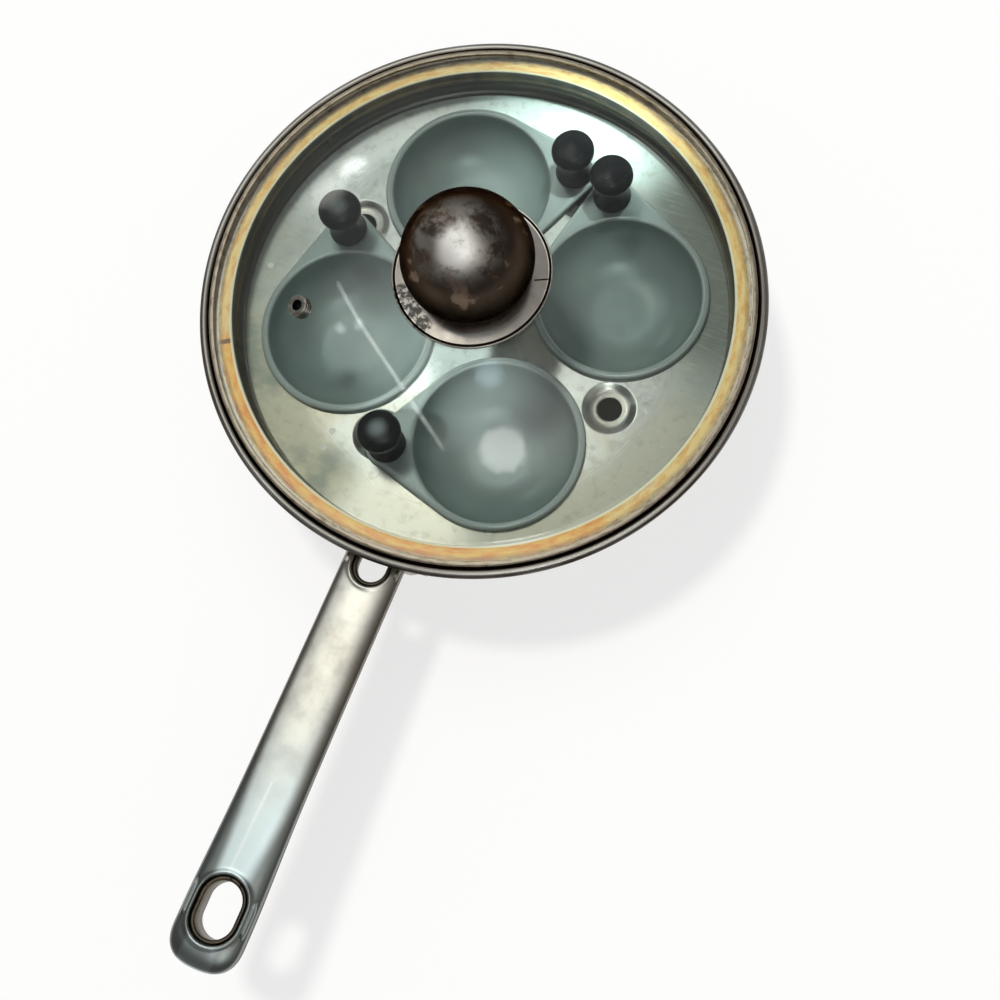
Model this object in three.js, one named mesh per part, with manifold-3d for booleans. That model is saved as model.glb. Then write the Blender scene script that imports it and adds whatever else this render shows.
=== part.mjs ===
// Egg poacher pan: a steel pan with a pressed hollow handle, a tray with four
// non-stick cups and a domed glass lid with a ball knob.
// Millimetres, +Z up. The origin is the centre of the underside of the base, and the
// handle runs along -Y.
import * as THREE from 'three';
import { mergeVertices } from 'three/addons/utils/BufferGeometryUtils.js';
import Module from 'manifold-3d';

const wasm = await Module();
wasm.setup();

// Facets: rings that nest inside each other have the same number
const ringSides = 40;
const ballSides = 24;
const cupSides = 20;
const flangeSteps = 10;
const knobSides = 16;
const smallSides = 12;
const cornerSteps = 3;
const slotSteps = 5;

// Fits
const seatGap = 0.3; // between two pieces that rest on each other
const overrun = 1; // how far a cutter reaches past what it cuts

// Pan shell
const panHeight = 56;
const rimRadius = 106; // outermost point of the rolled rim
const curlRadius = 1.7; // of the roll itself
const panSheet = 0.9;
const shelfDrop = 6; // from the top of the rim down to the shelf that carries the tray
const shelfWidth = 4.5;
const shelfBend = 1;
const wallTaper = 1.4; // how much smaller the wall's radius is at its foot
const wallCornerRadius = 14;
const curlTuckAngle = 50; // degrees that the roll turns in below its widest point

// Base under the pan floor
const baseHeight = 5; // from the table to the underside of the pan floor
const capSheet = 0.7;
const capInset = 0.6; // from the end of the floor's flat to the cap's outside
const capCornerRadius = 3.2;

// Handle bracket and its rivets
const bracketThickness = 2;
const bracketWidth = 32;
const bracketDrop = 3.6; // from the underside of the shelf to its top
const bracketMargin = 2.2; // from the rivet heads to its bottom
const bracketLugLength = 10;
const bracketLugHeight = 1.4;
const bracketLugFit = 0.75; // each side of a lug, inside the handle
const rivetRadius = 2.3;
const rivetHeadRadius = 4.3;
const rivetHeadHeight = 1.4;
const rivetDrop = 3.9; // from the underside of the handle's root to the rivet heads
const rivetAngle = 5.3; // degrees either side of the handle, round the pan
const rivetFit = 0.3;
// Rivet head, from its seat out: share of its radius, share of its height
const rivetHeadShares = [[1, 0], [1, 0.33], [0.55, 1], [0, 1]];

// Handle: a pressed upper and lower shell
const handleRun = 154.4; // from its root to its tip, along the table
const handleDrop = 2.8; // from the top of the bracket to the parting line of the shells
const handleTipRise = 10; // of the parting line, from root to tip
const handleWidth = 26; // at its widest, near the hanging hole
const handleCrown = 3.8; // upper shell, from the parting line to its crest
const handleBelly = 9.5; // lower shell, at its deepest
const handleSheet = 1;
const handleTipLength = 12;
const handleRoundness = 2.6; // exponent of the section: 2 is an ellipse
const handleSectionPoints = 16;
const handleTipSteps = 4;
// Along the handle: share of length, of width, of crown and of belly
const handleShapeShares = [
  [0.0, 0.885, 0.79, 0.37],
  [0.22, 0.89, 0.82, 0.36],
  [0.45, 0.905, 0.85, 0.42],
  [0.64, 0.93, 0.91, 0.62],
  [0.78, 0.975, 0.97, 0.9],
  [0.86, 1.0, 1.0, 1.0],
];

// Openings in the handle, both with a collar that is part of the lower shell
const hangingHoleWidth = 15;
const hangingHoleLength = 21;
const hangingHoleFromTip = 20.5; // from the centre of the hole to the tip
const rootOpeningWidth = 12;
const rootOpeningLength = 11.4; // from the handle's root
const openingBead = 1.9; // width of the raised ring round each opening
const openingBeadRise = 0.5;

// Tray
const traySheet = 0.7;
const trayFlangeFit = 1; // from the flange to the pan's step
const trayWallFit = 2.2; // from the tray's wall to the pan's
const trayDepth = 12.8; // from the top of the flange to the top of the floor
const trayCornerRadius = 3.2; // inside
const trayFlangeBend = 0.8;
const steamHoleRadius = 4.4;
const steamHoleCircleRadius = 61;
const steamDimpleDepth = 1.2;
const steamDimpleWeb = 1.4; // of flat floor between a dimple and a cup's hole
const steamDimpleSlopeShare = 0.54; // of the dimple's width outside its hole

// Cups: as large as the tray has room for
const cupCount = 4;
const firstCupAngle = 27.1; // degrees from +X
const cupEdgeGap = 9.8; // from a cup's flange to the tray's wall
const cupNeighbourGap = 6.4; // between the flanges of two cups
const cupHoleFit = 0.5; // between the bowl and its hole, all round
const cupLip = 2.3; // width of the flange round the mouth
const cupDepth = 18;
const cupFlatRadius = 9.8; // flat circle at the bottom
const cupSheet = 0.9;
const cupFlangeSheet = 1;
const cupFlangeRise = 2.5; // from the foot of the flange's skirt to its top
const cupBowlSteps = 5;
const tabOverhang = 6.7; // from the edge of the flange to the knob's axis
const tabEndRadius = 8.5;
const tabGap = 0.8; // between the two tabs that lie side by side
// Where three of the tabs point, in degrees from the line out of the pan's centre
const rightTabAngle = 88;
const leftTabAngle = -94.5;
const frontTabAngle = -95.3;

// Cup knobs
const cupKnobInset = 0.4; // from the end of the tab to the knob's head
const cupKnobHeadroom = 2.1; // under the glass, at the axis of the outermost knob
// Cup knob, from its foot up: share of its height, share of its head's radius
const cupKnobShapeShares = [
  [0, 0.89],
  [0.08, 0.89],
  [0.3, 0.69],
  [0.55, 0.69],
  [0.74, 1],
  [0.83, 1],
  [0.93, 0.86],
  [0.985, 0.5],
  [1, 0],
];
const cupInsertRadius = 2.8;
const cupInsertLength = 9;
const cupScrewRadius = 1.5;
const cupScrewLength = 8; // from the top of the tab
const cupScrewHeadRadius = 3.2;
const cupScrewHeadHeight = 1;
const threadFit = 0.3; // between a screw and its hole or insert

// Lid glass
const glassThickness = 4;
const glassEdgeWidth = 7.2; // flat edge, outside the dome
const glassRise = 22.6; // of the dome above the flat edge
const glassHoleRadius = 4;
const glassSteps = 5; // of the dome, outside the seals

// Lid band
const bandSheet = 0.5;
const bandFit = 0.6; // from the band to the pan's step
const bandHookWidth = 1.9; // of the hook that lies on the glass
const bandSkirtFit = 1.3; // from the skirt to the tray's wall
const bandSkirtDepth = 6; // below the flange

// Vent eyelet
const ventCircleRadius = 65.1; // from the pan's axis
const ventAngle = -152.6; // degrees from +X
const ventFlangeRadius = 4.1;
const ventFlangeThickness = 0.7;
const ventBoreRadius = 1.7;
const ventBarrelRadius = 2.4;
const ventFit = 0.3;

// Lid knob
const ballRadius = 23.5;
const ballHeight = 34.2; // from the foot of the ball to its top
const ballFootRadius = 17;
const ballNeckShare = 0.8; // of the way down from the ball's middle to its foot
const ballSteps = 8;
const knobPlateRadius = 28.8;
const knobPlateSheet = 0.8;
const knobPlateFlatRadius = 12;
const knobPlateRimGap = 0.8; // from the glass to its rim
const knobPlateLip = 0.6; // height and width of the bead at its rim
const knobSealRadius = 10;
const knobSealThickness = 0.8;
const underWasherRadius = 8.5;
const underWasherThickness = 0.8;
const knobScrewRadius = 2.5;
const knobScrewHeadRadius = 4.6;
const knobScrewHeadHeight = 2.6;
const knobScrewDepth = 10; // of thread inside the ball
const knobInsertRadius = 4.6;
const knobInsertLength = 14;

// Radii, from the rim inward
const stepRadius = rimRadius - 2 * curlRadius; // inside of the step above the shelf
const wallTopRadius = stepRadius - shelfWidth + panSheet; // outside, under the shelf
const wallFootRadius = wallTopRadius - wallTaper; // outside, where the corner starts
const capRadius = wallFootRadius - wallCornerRadius - capInset;
const handleRootRadius = wallTopRadius + seatGap + bracketThickness + seatGap;
const trayFlangeRadius = stepRadius - trayFlangeFit;
const trayWallRadius = wallTopRadius - panSheet - trayWallFit; // outside
const bandRadius = stepRadius - bandFit;
const bandHookInnerRadius = bandRadius - bandHookWidth;
const bandSkirtRadius = trayWallRadius - traySheet - bandSkirtFit - bandSheet; // inside
const glassRadius = bandRadius - bandSheet - seatGap;
const glassDomeRadius = glassRadius - glassEdgeWidth; // where the dome meets the flat edge

// Radii of the cups, whose flanges fill a circle inside the tray's wall
const cupReach = trayWallRadius - traySheet - cupEdgeGap;
const cupCircleRadius = (cupReach + cupNeighbourGap / 2) / (1 + Math.sin(Math.PI / cupCount));
const cupFlangeRadius = cupReach - cupCircleRadius;
const cupMouthRadius = cupFlangeRadius - cupLip;
const cupHoleRadius = cupMouthRadius + cupSheet + cupHoleFit;
const tabReach = cupFlangeRadius + tabOverhang; // from the cup's axis to its knob's axis
const cupKnobHeadRadius = tabEndRadius - cupKnobInset;

// Heights, from the stack: pan, tray, lid
const curlHeight = panHeight - curlRadius;
const shelfHeight = panHeight - shelfDrop;
const panFloorHeight = baseHeight + panSheet;
const bracketTop = shelfHeight - panSheet - bracketDrop;
const handleRootHeight = bracketTop - handleDrop; // parting line of the two shells
const [, rootWidthShare, , rootBellyShare] = handleShapeShares[0];
const handleRootUnderside = handleRootHeight - handleBelly * rootBellyShare;
const rivetHeight = handleRootUnderside - rivetDrop - rivetHeadRadius;
const bracketBottom = rivetHeight - rivetHeadRadius - bracketMargin;
const trayFlangeUnderside = shelfHeight + seatGap;
const trayFlangeTop = trayFlangeUnderside + traySheet;
const trayFloorTop = trayFlangeTop - trayDepth;
const cupFootHeight = trayFloorTop + seatGap;
const bandFlangeUnderside = trayFlangeTop + seatGap;
const bandFlangeTop = bandFlangeUnderside + bandSheet;
const glassUnderside = bandFlangeTop + seatGap;
const glassTop = glassUnderside + glassThickness;
const glassApex = glassTop + glassRise;
const knobSealUnderside = glassApex + seatGap;
const knobPlateUnderside = knobSealUnderside + knobSealThickness + seatGap;
const ballUnderside = knobPlateUnderside + knobPlateSheet + seatGap;

// Sphere of the dome's outside, and the height of the glass at a radius, depth below it
const domeSphereRadius = (glassDomeRadius ** 2 + glassRise ** 2) / (2 * glassRise);

function domeHeight(radius, depth) {
  const sphere = domeSphereRadius - depth;
  return glassApex - domeSphereRadius + Math.sqrt(sphere ** 2 - radius ** 2);
}

// Materials
function finish(color, roughness, metalness) {
  return new THREE.MeshStandardMaterial({ color, roughness, metalness });
}
const steel = finish(0xb9bab6, 0.32, 1);
const polishedSteel = finish(0xc9c8c4, 0.18, 1);
const aluminium = finish(0xa8abad, 0.5, 1);
const brass = finish(0xb08d4a, 0.4, 1);
const nonStick = finish(0x5f6e6c, 0.45, 0.1);
const blackPlastic = finish(0x1b1d1d, 0.4, 0);
const ballPlastic = finish(0x2a211c, 0.22, 0.1);
const clearGlass = finish(0xdfe8e6, 0.05, 0);
const silicone = finish(0xd8d6cf, 0.7, 0);

// Points of a round stretch of an outline, angles in degrees
function arc(centreX, centreY, radius, fromAngle, toAngle, steps = cornerSteps) {
  const points = [];
  for (let i = 0; i <= steps; i += 1) {
    const angle = THREE.MathUtils.degToRad(fromAngle + ((toAngle - fromAngle) * i) / steps);
    points.push(new THREE.Vector2(
      centreX + radius * Math.cos(angle),
      centreY + radius * Math.sin(angle),
    ));
  }
  return points;
}

function point(radius, height) {
  return new THREE.Vector2(radius, height);
}

// An outline of radius and height turned about +Z
function turned(outline, sides) {
  const geometry = new THREE.LatheGeometry(outline, sides);
  geometry.rotateX(Math.PI / 2);
  return geometry;
}

// A ring outline that doesn't reach the axis closes on its first point
function turnedRing(outline, sides) {
  return turned([...outline, outline[0].clone()], sides);
}

function rod(radius, bottom, top, sides) {
  return turned([point(0, bottom), point(radius, bottom), point(radius, top), point(0, top)], sides);
}

function tube(inner, outer, bottom, top, sides) {
  const outline = [point(inner, bottom), point(outer, bottom), point(outer, top), point(inner, top)];
  return turnedRing(outline, sides);
}

// A flat outline made thick along +Z
function plate(shape, bottom, top, curveSegments = slotSteps) {
  const geometry = new THREE.ExtrudeGeometry(shape, {
    depth: top - bottom,
    bevelEnabled: false,
    curveSegments,
  });
  geometry.translate(0, 0, bottom);
  return geometry;
}

// Solid for booleans: shared vertices merged, collapsed triangles dropped
function solidOf(geometry) {
  const bare = geometry.clone();
  bare.deleteAttribute('normal');
  bare.deleteAttribute('uv');
  const merged = mergeVertices(bare);
  const kept = [];
  const index = merged.index.array;
  for (let i = 0; i < index.length; i += 3) {
    const [a, b, c] = [index[i], index[i + 1], index[i + 2]];
    if (a !== b && b !== c && c !== a) kept.push(a, b, c);
  }
  return new wasm.Manifold(new wasm.Mesh({
    numProp: 3,
    vertProperties: new Float32Array(merged.attributes.position.array),
    triVerts: new Uint32Array(kept),
  }));
}

function geometryOf(solid) {
  const mesh = solid.getMesh();
  const geometry = new THREE.BufferGeometry();
  geometry.setAttribute('position', new THREE.BufferAttribute(mesh.vertProperties, 3));
  geometry.setIndex(new THREE.BufferAttribute(mesh.triVerts, 1));
  geometry.computeVertexNormals();
  return geometry;
}

function node(name, geometry, material) {
  const mesh = new THREE.Mesh(geometry, material);
  mesh.name = name;
  return mesh;
}

// Pan: shell, core, cap

// Outside of the pan's corner and wall, from the floor up to the shelf, grown by clearance
function wallOutline(clearance) {
  const footCentre = wallFootRadius - wallCornerRadius;
  const footHeight = baseHeight + wallCornerRadius;
  return [
    ...arc(footCentre, footHeight, wallCornerRadius + clearance, -90, 0),
    point(wallTopRadius + clearance, shelfHeight - panSheet - shelfBend),
  ];
}

function panOutline() {
  const stepOuter = stepRadius + panSheet;
  const shelfUnderside = shelfHeight - panSheet;
  const curlCentre = rimRadius - curlRadius;
  const footCentre = wallFootRadius - wallCornerRadius;
  const footHeight = baseHeight + wallCornerRadius;
  return [
    point(0, baseHeight),
    ...wallOutline(0),
    point(wallTopRadius + shelfBend, shelfUnderside),
    point(stepOuter - shelfBend, shelfUnderside),
    point(stepOuter, shelfUnderside + shelfBend),
    ...arc(curlCentre, curlHeight, curlRadius - panSheet, 180, -curlTuckAngle),
    ...arc(curlCentre, curlHeight, curlRadius, -curlTuckAngle, 180, 2 * cornerSteps),
    point(stepRadius, shelfHeight + shelfBend),
    point(stepRadius - shelfBend, shelfHeight),
    point(wallTopRadius - panSheet + shelfBend, shelfHeight),
    point(wallTopRadius - panSheet, shelfHeight - shelfBend),
    ...arc(footCentre, footHeight, wallCornerRadius - panSheet, 0, -90),
    point(0, panFloorHeight),
  ];
}

// A turned piece or cutter made along +Z, laid along the radius of one rivet
function alongRivet(geometry, side) {
  const laid = geometry.clone();
  laid.rotateX(Math.PI / 2);
  laid.translate(0, 0, rivetHeight);
  laid.rotateZ(THREE.MathUtils.degToRad(side * rivetAngle));
  return laid;
}

function wallRadiusAt(height) {
  const [foot, top] = wallOutline(0).slice(-2);
  const share = (height - foot.y) / (top.y - foot.y);
  return foot.x + (top.x - foot.x) * share;
}

function rivetCutter(side) {
  const inside = wallRadiusAt(rivetHeight) - panSheet - overrun;
  const outside = wallTopRadius + seatGap + bracketThickness + overrun;
  return solidOf(alongRivet(rod(rivetRadius + rivetFit, inside, outside, smallSides), side));
}

function panShell() {
  let shell = solidOf(turned(panOutline(), ringSides));
  for (const side of [-1, 1]) shell = shell.subtract(rivetCutter(side));
  return geometryOf(shell);
}

function baseCap() {
  const top = baseHeight - seatGap;
  const cornerCentre = capRadius - capCornerRadius;
  return turned([
    point(0, 0),
    ...arc(cornerCentre, capCornerRadius, capCornerRadius, -90, 0, cornerSteps - 1),
    point(capRadius, top),
    point(capRadius - capSheet, top),
    ...arc(cornerCentre, capCornerRadius, capCornerRadius - capSheet, 0, -90, cornerSteps - 1),
    point(0, capSheet),
  ], ringSides);
}

function baseCore() {
  const bottom = capSheet + seatGap;
  const radius = capRadius - capSheet - seatGap;
  const chamfer = capCornerRadius - capSheet;
  return turned([
    point(0, bottom),
    point(radius - chamfer, bottom),
    point(radius, bottom + chamfer),
    point(radius, baseHeight - seatGap),
    point(0, baseHeight - seatGap),
  ], ringSides);
}

// Handle

const handleLength = Math.hypot(handleRun, handleTipRise);
const handleSlope = Math.atan2(handleTipRise, handleRun);
const handleFrame = new THREE.Matrix4()
  .makeTranslation(0, -handleRootRadius, handleRootHeight)
  .multiply(new THREE.Matrix4().makeRotationX(-handleSlope));

// Handle pieces are drawn with the handle along -Y from its root, then laid in place
function onHandle(geometry) {
  geometry.applyMatrix4(handleFrame);
  return solidOf(geometry);
}

function handleRings(outset) {
  const halfWidth = handleWidth / 2 + outset;
  const tipStart = handleLength - handleTipLength;
  const rings = [];
  for (const [along, width, crown, belly] of handleShapeShares) {
    rings.push({
      along: along * handleLength,
      width: (handleWidth / 2) * width + outset,
      crown: handleCrown * crown + outset,
      belly: handleBelly * belly + outset,
    });
  }
  rings[0].along -= handleSheet + overrun;
  for (let i = 0; i < handleTipSteps; i += 1) {
    const angle = (Math.PI / 2) * (i / handleTipSteps);
    const shrink = Math.cos(angle) ** (2 / handleRoundness);
    const advance = Math.sin(angle) ** (2 / handleRoundness);
    rings.push({
      along: tipStart + (handleTipLength + outset) * advance,
      width: halfWidth * shrink,
      crown: (handleCrown + outset) * shrink,
      belly: (handleBelly + outset) * shrink,
    });
  }
  return rings;
}

// The handle's whole outside as one solid, grown or shrunk by outset
function handleHull(outset) {
  const positions = [];
  const index = [];
  const count = handleSectionPoints;
  const rings = handleRings(outset);
  const power = 2 / handleRoundness;
  for (const ring of rings) {
    for (let i = 0; i < count; i += 1) {
      const angle = (2 * Math.PI * i) / count;
      const across = Math.cos(angle);
      const up = Math.sin(angle);
      const depth = up > 0 ? ring.crown : ring.belly;
      positions.push(
        ring.width * Math.sign(across) * Math.abs(across) ** power,
        -ring.along,
        depth * Math.sign(up) * Math.abs(up) ** power,
      );
    }
  }
  const rootCentre = positions.length / 3;
  positions.push(0, -rings[0].along, 0);
  positions.push(0, -(handleLength + outset), 0);
  const tip = rootCentre + 1;
  const last = (rings.length - 1) * count;
  for (let i = 0; i < count; i += 1) {
    const next = (i + 1) % count;
    for (let r = 0; r < rings.length - 1; r += 1) {
      const here = r * count;
      const there = here + count;
      index.push(here + i, there + next, there + i, here + i, here + next, there + next);
    }
    index.push(rootCentre, next, i);
    index.push(tip, last + i, last + next);
  }
  const geometry = new THREE.BufferGeometry();
  geometry.setAttribute('position', new THREE.Float32BufferAttribute(positions, 3));
  geometry.setIndex(index);
  return onHandle(geometry);
}

// A straight-sided hole with round ends, from nearY to farY along the handle
function slotPrism(nearY, farY, radius, bottom, top) {
  const shape = new THREE.Shape();
  shape.absarc(0, -nearY, radius, 0, Math.PI, false);
  shape.absarc(0, -farY, radius, Math.PI, 2 * Math.PI, false);
  return onHandle(plate(shape, bottom, top));
}

const hangingCentre = handleLength - hangingHoleFromTip;
const hangingHalf = (hangingHoleLength - hangingHoleWidth) / 2;
const handleOpenings = [
  {
    near: hangingCentre - hangingHalf,
    far: hangingCentre + hangingHalf,
    radius: hangingHoleWidth / 2,
  },
  {
    near: -rootOpeningWidth,
    far: rootOpeningLength - rootOpeningWidth / 2,
    radius: rootOpeningWidth / 2,
  },
];

function throughOpening(opening, grow, bottom, top) {
  return slotPrism(opening.near, opening.far, opening.radius + grow, bottom, top);
}

function handleShells() {
  const depth = handleBelly + handleCrown + overrun;
  const outer = handleHull(0);
  const inner = handleHull(-handleSheet);
  const raised = handleHull(openingBeadRise);
  const halfGap = seatGap / 2;
  const reach = handleLength + 2 * handleWidth;
  const above = new THREE.BoxGeometry(2 * handleWidth, 2 * reach, depth);
  above.translate(0, 0, depth / 2 + halfGap);
  const below = new THREE.BoxGeometry(2 * handleWidth, 2 * reach, depth);
  below.translate(0, 0, -depth / 2 - halfGap);
  const upperSpace = onHandle(above);
  const lowerSpace = onHandle(below);
  let upper = outer.subtract(inner).intersect(upperSpace);
  let lower = outer.subtract(inner).intersect(lowerSpace);
  for (const opening of handleOpenings) {
    const collarGrow = handleSheet;
    const bead = throughOpening(opening, collarGrow + seatGap + openingBead, 0, depth)
      .intersect(raised)
      .subtract(inner)
      .intersect(upperSpace);
    upper = upper.add(bead);
    const collar = throughOpening(opening, collarGrow, -depth, depth).intersect(outer);
    lower = lower.add(collar);
  }
  for (const opening of handleOpenings) {
    upper = upper.subtract(throughOpening(opening, handleSheet + seatGap, -depth, 2 * depth));
    lower = lower.subtract(throughOpening(opening, 0, -2 * depth, 2 * depth));
  }
  const bottom = handleRootHeight - depth - handleWidth;
  const rootCut = solidOf(rod(handleRootRadius, bottom, panHeight + handleWidth, ringSides));
  return {
    upper: geometryOf(upper.subtract(rootCut)),
    lower: geometryOf(lower.subtract(rootCut)),
  };
}

function handleBracket() {
  const outside = wallTopRadius + seatGap + bracketThickness;
  const block = new THREE.BoxGeometry(bracketWidth, outside, bracketTop - bracketBottom);
  block.translate(0, -outside / 2 - overrun, (bracketTop + bracketBottom) / 2);
  const round = solidOf(rod(outside, bracketBottom - overrun, bracketTop + overrun, ringSides));
  const wall = solidOf(turned([
    point(0, baseHeight - seatGap),
    ...wallOutline(seatGap),
    point(wallTopRadius + seatGap, shelfHeight),
    point(0, shelfHeight),
  ], ringSides));
  const lugInside = rootOpeningWidth / 2 + handleSheet + bracketLugFit;
  const lugOutside = (handleWidth / 2) * rootWidthShare - handleSheet - bracketLugFit;
  let bracket = solidOf(block).intersect(round);
  for (const side of [-1, 1]) {
    const lug = new THREE.BoxGeometry(lugOutside - lugInside, 2 * bracketLugLength, bracketLugHeight);
    lug.translate((side * (lugInside + lugOutside)) / 2, 0, 0);
    bracket = bracket.add(onHandle(lug));
  }
  bracket = bracket.subtract(wall);
  for (const side of [-1, 1]) bracket = bracket.subtract(rivetCutter(side));
  return geometryOf(bracket);
}

// How far out the flat of a rivet's inner head can sit against the round wall
function rivetSeatRadius() {
  const narrowest = wallRadiusAt(rivetHeight - rivetHeadRadius) - panSheet;
  return Math.sqrt((narrowest * Math.cos(Math.PI / ringSides)) ** 2 - rivetHeadRadius ** 2);
}

function rivetHead(seat, direction) {
  return rivetHeadShares.map(([across, out]) => point(
    rivetHeadRadius * across,
    seat + direction * rivetHeadHeight * out,
  ));
}

function rivet(side) {
  const inside = rivetSeatRadius() - seatGap;
  const outside = handleRootRadius;
  return alongRivet(turned([
    ...rivetHead(inside, -1).reverse(),
    point(rivetRadius, inside),
    point(rivetRadius, outside),
    ...rivetHead(outside, 1),
  ], smallSides), side);
}

// Tray

function trayOutline() {
  const wallInner = trayWallRadius - traySheet;
  const cornerCentre = wallInner - trayCornerRadius;
  const cornerHeight = trayFloorTop + trayCornerRadius;
  return [
    point(0, trayFloorTop - traySheet),
    ...arc(cornerCentre, cornerHeight, trayCornerRadius + traySheet, -90, 0),
    point(trayWallRadius, trayFlangeUnderside - trayFlangeBend),
    point(trayWallRadius + trayFlangeBend, trayFlangeUnderside),
    point(trayFlangeRadius, trayFlangeUnderside),
    point(trayFlangeRadius, trayFlangeTop),
    point(wallInner + trayFlangeBend, trayFlangeTop),
    point(wallInner, trayFlangeTop - trayFlangeBend),
    ...arc(cornerCentre, cornerHeight, trayCornerRadius, 0, -90),
    point(0, trayFloorTop),
  ];
}

function onCircle(geometry, radius, angle) {
  geometry.translate(radius, 0, 0);
  geometry.rotateZ(THREE.MathUtils.degToRad(angle));
  return geometry;
}

function cupAngle(number) {
  return firstCupAngle + (360 / cupCount) * number;
}

// The dimples are as wide as the floor between two cup holes allows
const steamAngleStep = Math.PI / cupCount;
const steamToCup = Math.hypot(
  steamHoleCircleRadius - cupCircleRadius * Math.cos(steamAngleStep),
  cupCircleRadius * Math.sin(steamAngleStep),
);
const steamDimpleRadius = steamToCup - cupHoleRadius - steamDimpleWeb;

function steamDimple() {
  const floorBottom = trayFloorTop - traySheet;
  const sunkTop = trayFloorTop - steamDimpleDepth;
  const slope = (steamDimpleRadius - steamHoleRadius) * steamDimpleSlopeShare;
  return turnedRing([
    point(steamHoleRadius, sunkTop - traySheet),
    point(steamDimpleRadius - slope, sunkTop - traySheet),
    point(steamDimpleRadius, floorBottom),
    point(steamDimpleRadius + traySheet, floorBottom),
    point(steamDimpleRadius + traySheet, trayFloorTop),
    point(steamDimpleRadius, trayFloorTop),
    point(steamDimpleRadius - slope, sunkTop),
    point(steamHoleRadius, sunkTop),
  ], knobSides);
}

function poacherTray() {
  let tray = solidOf(turned(trayOutline(), ringSides));
  const cutBottom = trayFloorTop - traySheet - overrun;
  const cutTop = trayFloorTop + overrun;
  for (let i = 0; i < cupCount; i += 1) {
    const cupHole = rod(cupHoleRadius, cutBottom, cutTop, cupSides);
    tray = tray.subtract(solidOf(onCircle(cupHole, cupCircleRadius, cupAngle(i))));
    const steamAngle = cupAngle(i) - 180 / cupCount;
    const dimpleCut = rod(steamDimpleRadius, cutBottom, cutTop, knobSides);
    tray = tray.subtract(solidOf(onCircle(dimpleCut, steamHoleCircleRadius, steamAngle)));
    tray = tray.add(solidOf(onCircle(steamDimple(), steamHoleCircleRadius, steamAngle)));
  }
  return geometryOf(tray);
}

// Cups: drawn with the cup's axis on +Z, the tab along +X, and the foot of the
// flange's skirt at height zero

// A round flange drawn together with the round end of the tab
function teardrop(inset) {
  const flange = cupFlangeRadius - inset;
  const end = tabEndRadius - inset;
  const tangent = Math.acos((flange - end) / tabReach);
  const shape = new THREE.Shape();
  shape.absarc(0, 0, flange, tangent, 2 * Math.PI - tangent, false);
  shape.absarc(tabReach, 0, end, -tangent, tangent, false);
  return shape;
}

function bowlOutline(outset, top) {
  const widen = cupMouthRadius - cupFlatRadius + outset;
  const bottom = cupFlangeRise;
  const points = [];
  for (let i = 0; i <= cupBowlSteps; i += 1) {
    const angle = (Math.PI / 2) * (1 - i / cupBowlSteps);
    points.push(point(
      cupFlatRadius + widen * Math.cos(angle),
      bottom - (cupDepth + outset) * Math.sin(angle),
    ));
  }
  const mouth = cupMouthRadius + outset;
  return [point(0, bottom - cupDepth - outset), ...points, point(mouth, top), point(0, top)];
}

function cupBowl() {
  const underSheet = cupFlangeRise - cupFlangeSheet;
  let cup = solidOf(plate(teardrop(0), 0, cupFlangeRise, flangeSteps));
  cup = cup.subtract(solidOf(plate(teardrop(cupFlangeSheet), -overrun, underSheet, flangeSteps)));
  const outside = turned(bowlOutline(cupSheet, cupFlangeRise), cupSides);
  const inside = turned(bowlOutline(0, cupFlangeRise + overrun), cupSides);
  cup = cup.add(solidOf(outside)).subtract(solidOf(inside));
  const screwHole = rod(cupScrewRadius + threadFit, 0, cupFlangeRise + overrun, smallSides);
  screwHole.translate(tabReach, 0, 0);
  return geometryOf(cup.subtract(solidOf(screwHole)));
}

// In plan: the axis of a cup, and the axis of its knob
function cupAxisPlace(number) {
  const angle = THREE.MathUtils.degToRad(cupAngle(number));
  return new THREE.Vector2(cupCircleRadius, 0).rotateAround(new THREE.Vector2(), angle);
}

function knobAxisPlace(number, tabAngle) {
  const angle = THREE.MathUtils.degToRad(cupAngle(number) + tabAngle);
  const arm = new THREE.Vector2(tabReach, 0).rotateAround(new THREE.Vector2(), angle);
  return cupAxisPlace(number).add(arm);
}

// The back cup is turned until the end of its tab lies beside the end of the right cup's
function backTabAngle() {
  const toRightKnob = knobAxisPlace(0, rightTabAngle).sub(cupAxisPlace(1));
  const apart = toRightKnob.length();
  const between = 2 * tabEndRadius + tabGap;
  const cosine = (apart ** 2 + tabReach ** 2 - between ** 2) / (2 * apart * tabReach);
  const turn = toRightKnob.angle() + Math.acos(Math.min(1, cosine));
  return THREE.MathUtils.radToDeg(turn) - cupAngle(1);
}

const cupPlaces = [
  { name: 'right', tabAngle: rightTabAngle },
  { name: 'back', tabAngle: backTabAngle() },
  { name: 'left', tabAngle: leftTabAngle },
  { name: 'front', tabAngle: frontTabAngle },
];

// Pieces on the knob's axis have their own frame, with the top of the tab at height zero

function cupKnob() {
  const foot = seatGap;
  const bore = cupInsertRadius + seatGap;
  const boreTop = foot + cupInsertLength + seatGap;
  const knobRadii = cupPlaces.map((place, number) => knobAxisPlace(number, place.tabAngle).length());
  const outermost = Math.max(...knobRadii);
  const glassAbove = domeHeight(outermost, glassThickness) - cupFootHeight - cupFlangeRise;
  const height = glassAbove - cupKnobHeadroom - foot;
  return turned([
    point(0, boreTop),
    point(bore, boreTop),
    point(bore, foot),
    ...cupKnobShapeShares.map(([up, across]) => point(
      cupKnobHeadRadius * across,
      foot + height * up,
    )),
  ], knobSides);
}

function threadedInsert(radius, screwRadius, bottom, length) {
  return tube(screwRadius + threadFit, radius, bottom, bottom + length, smallSides);
}

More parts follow.
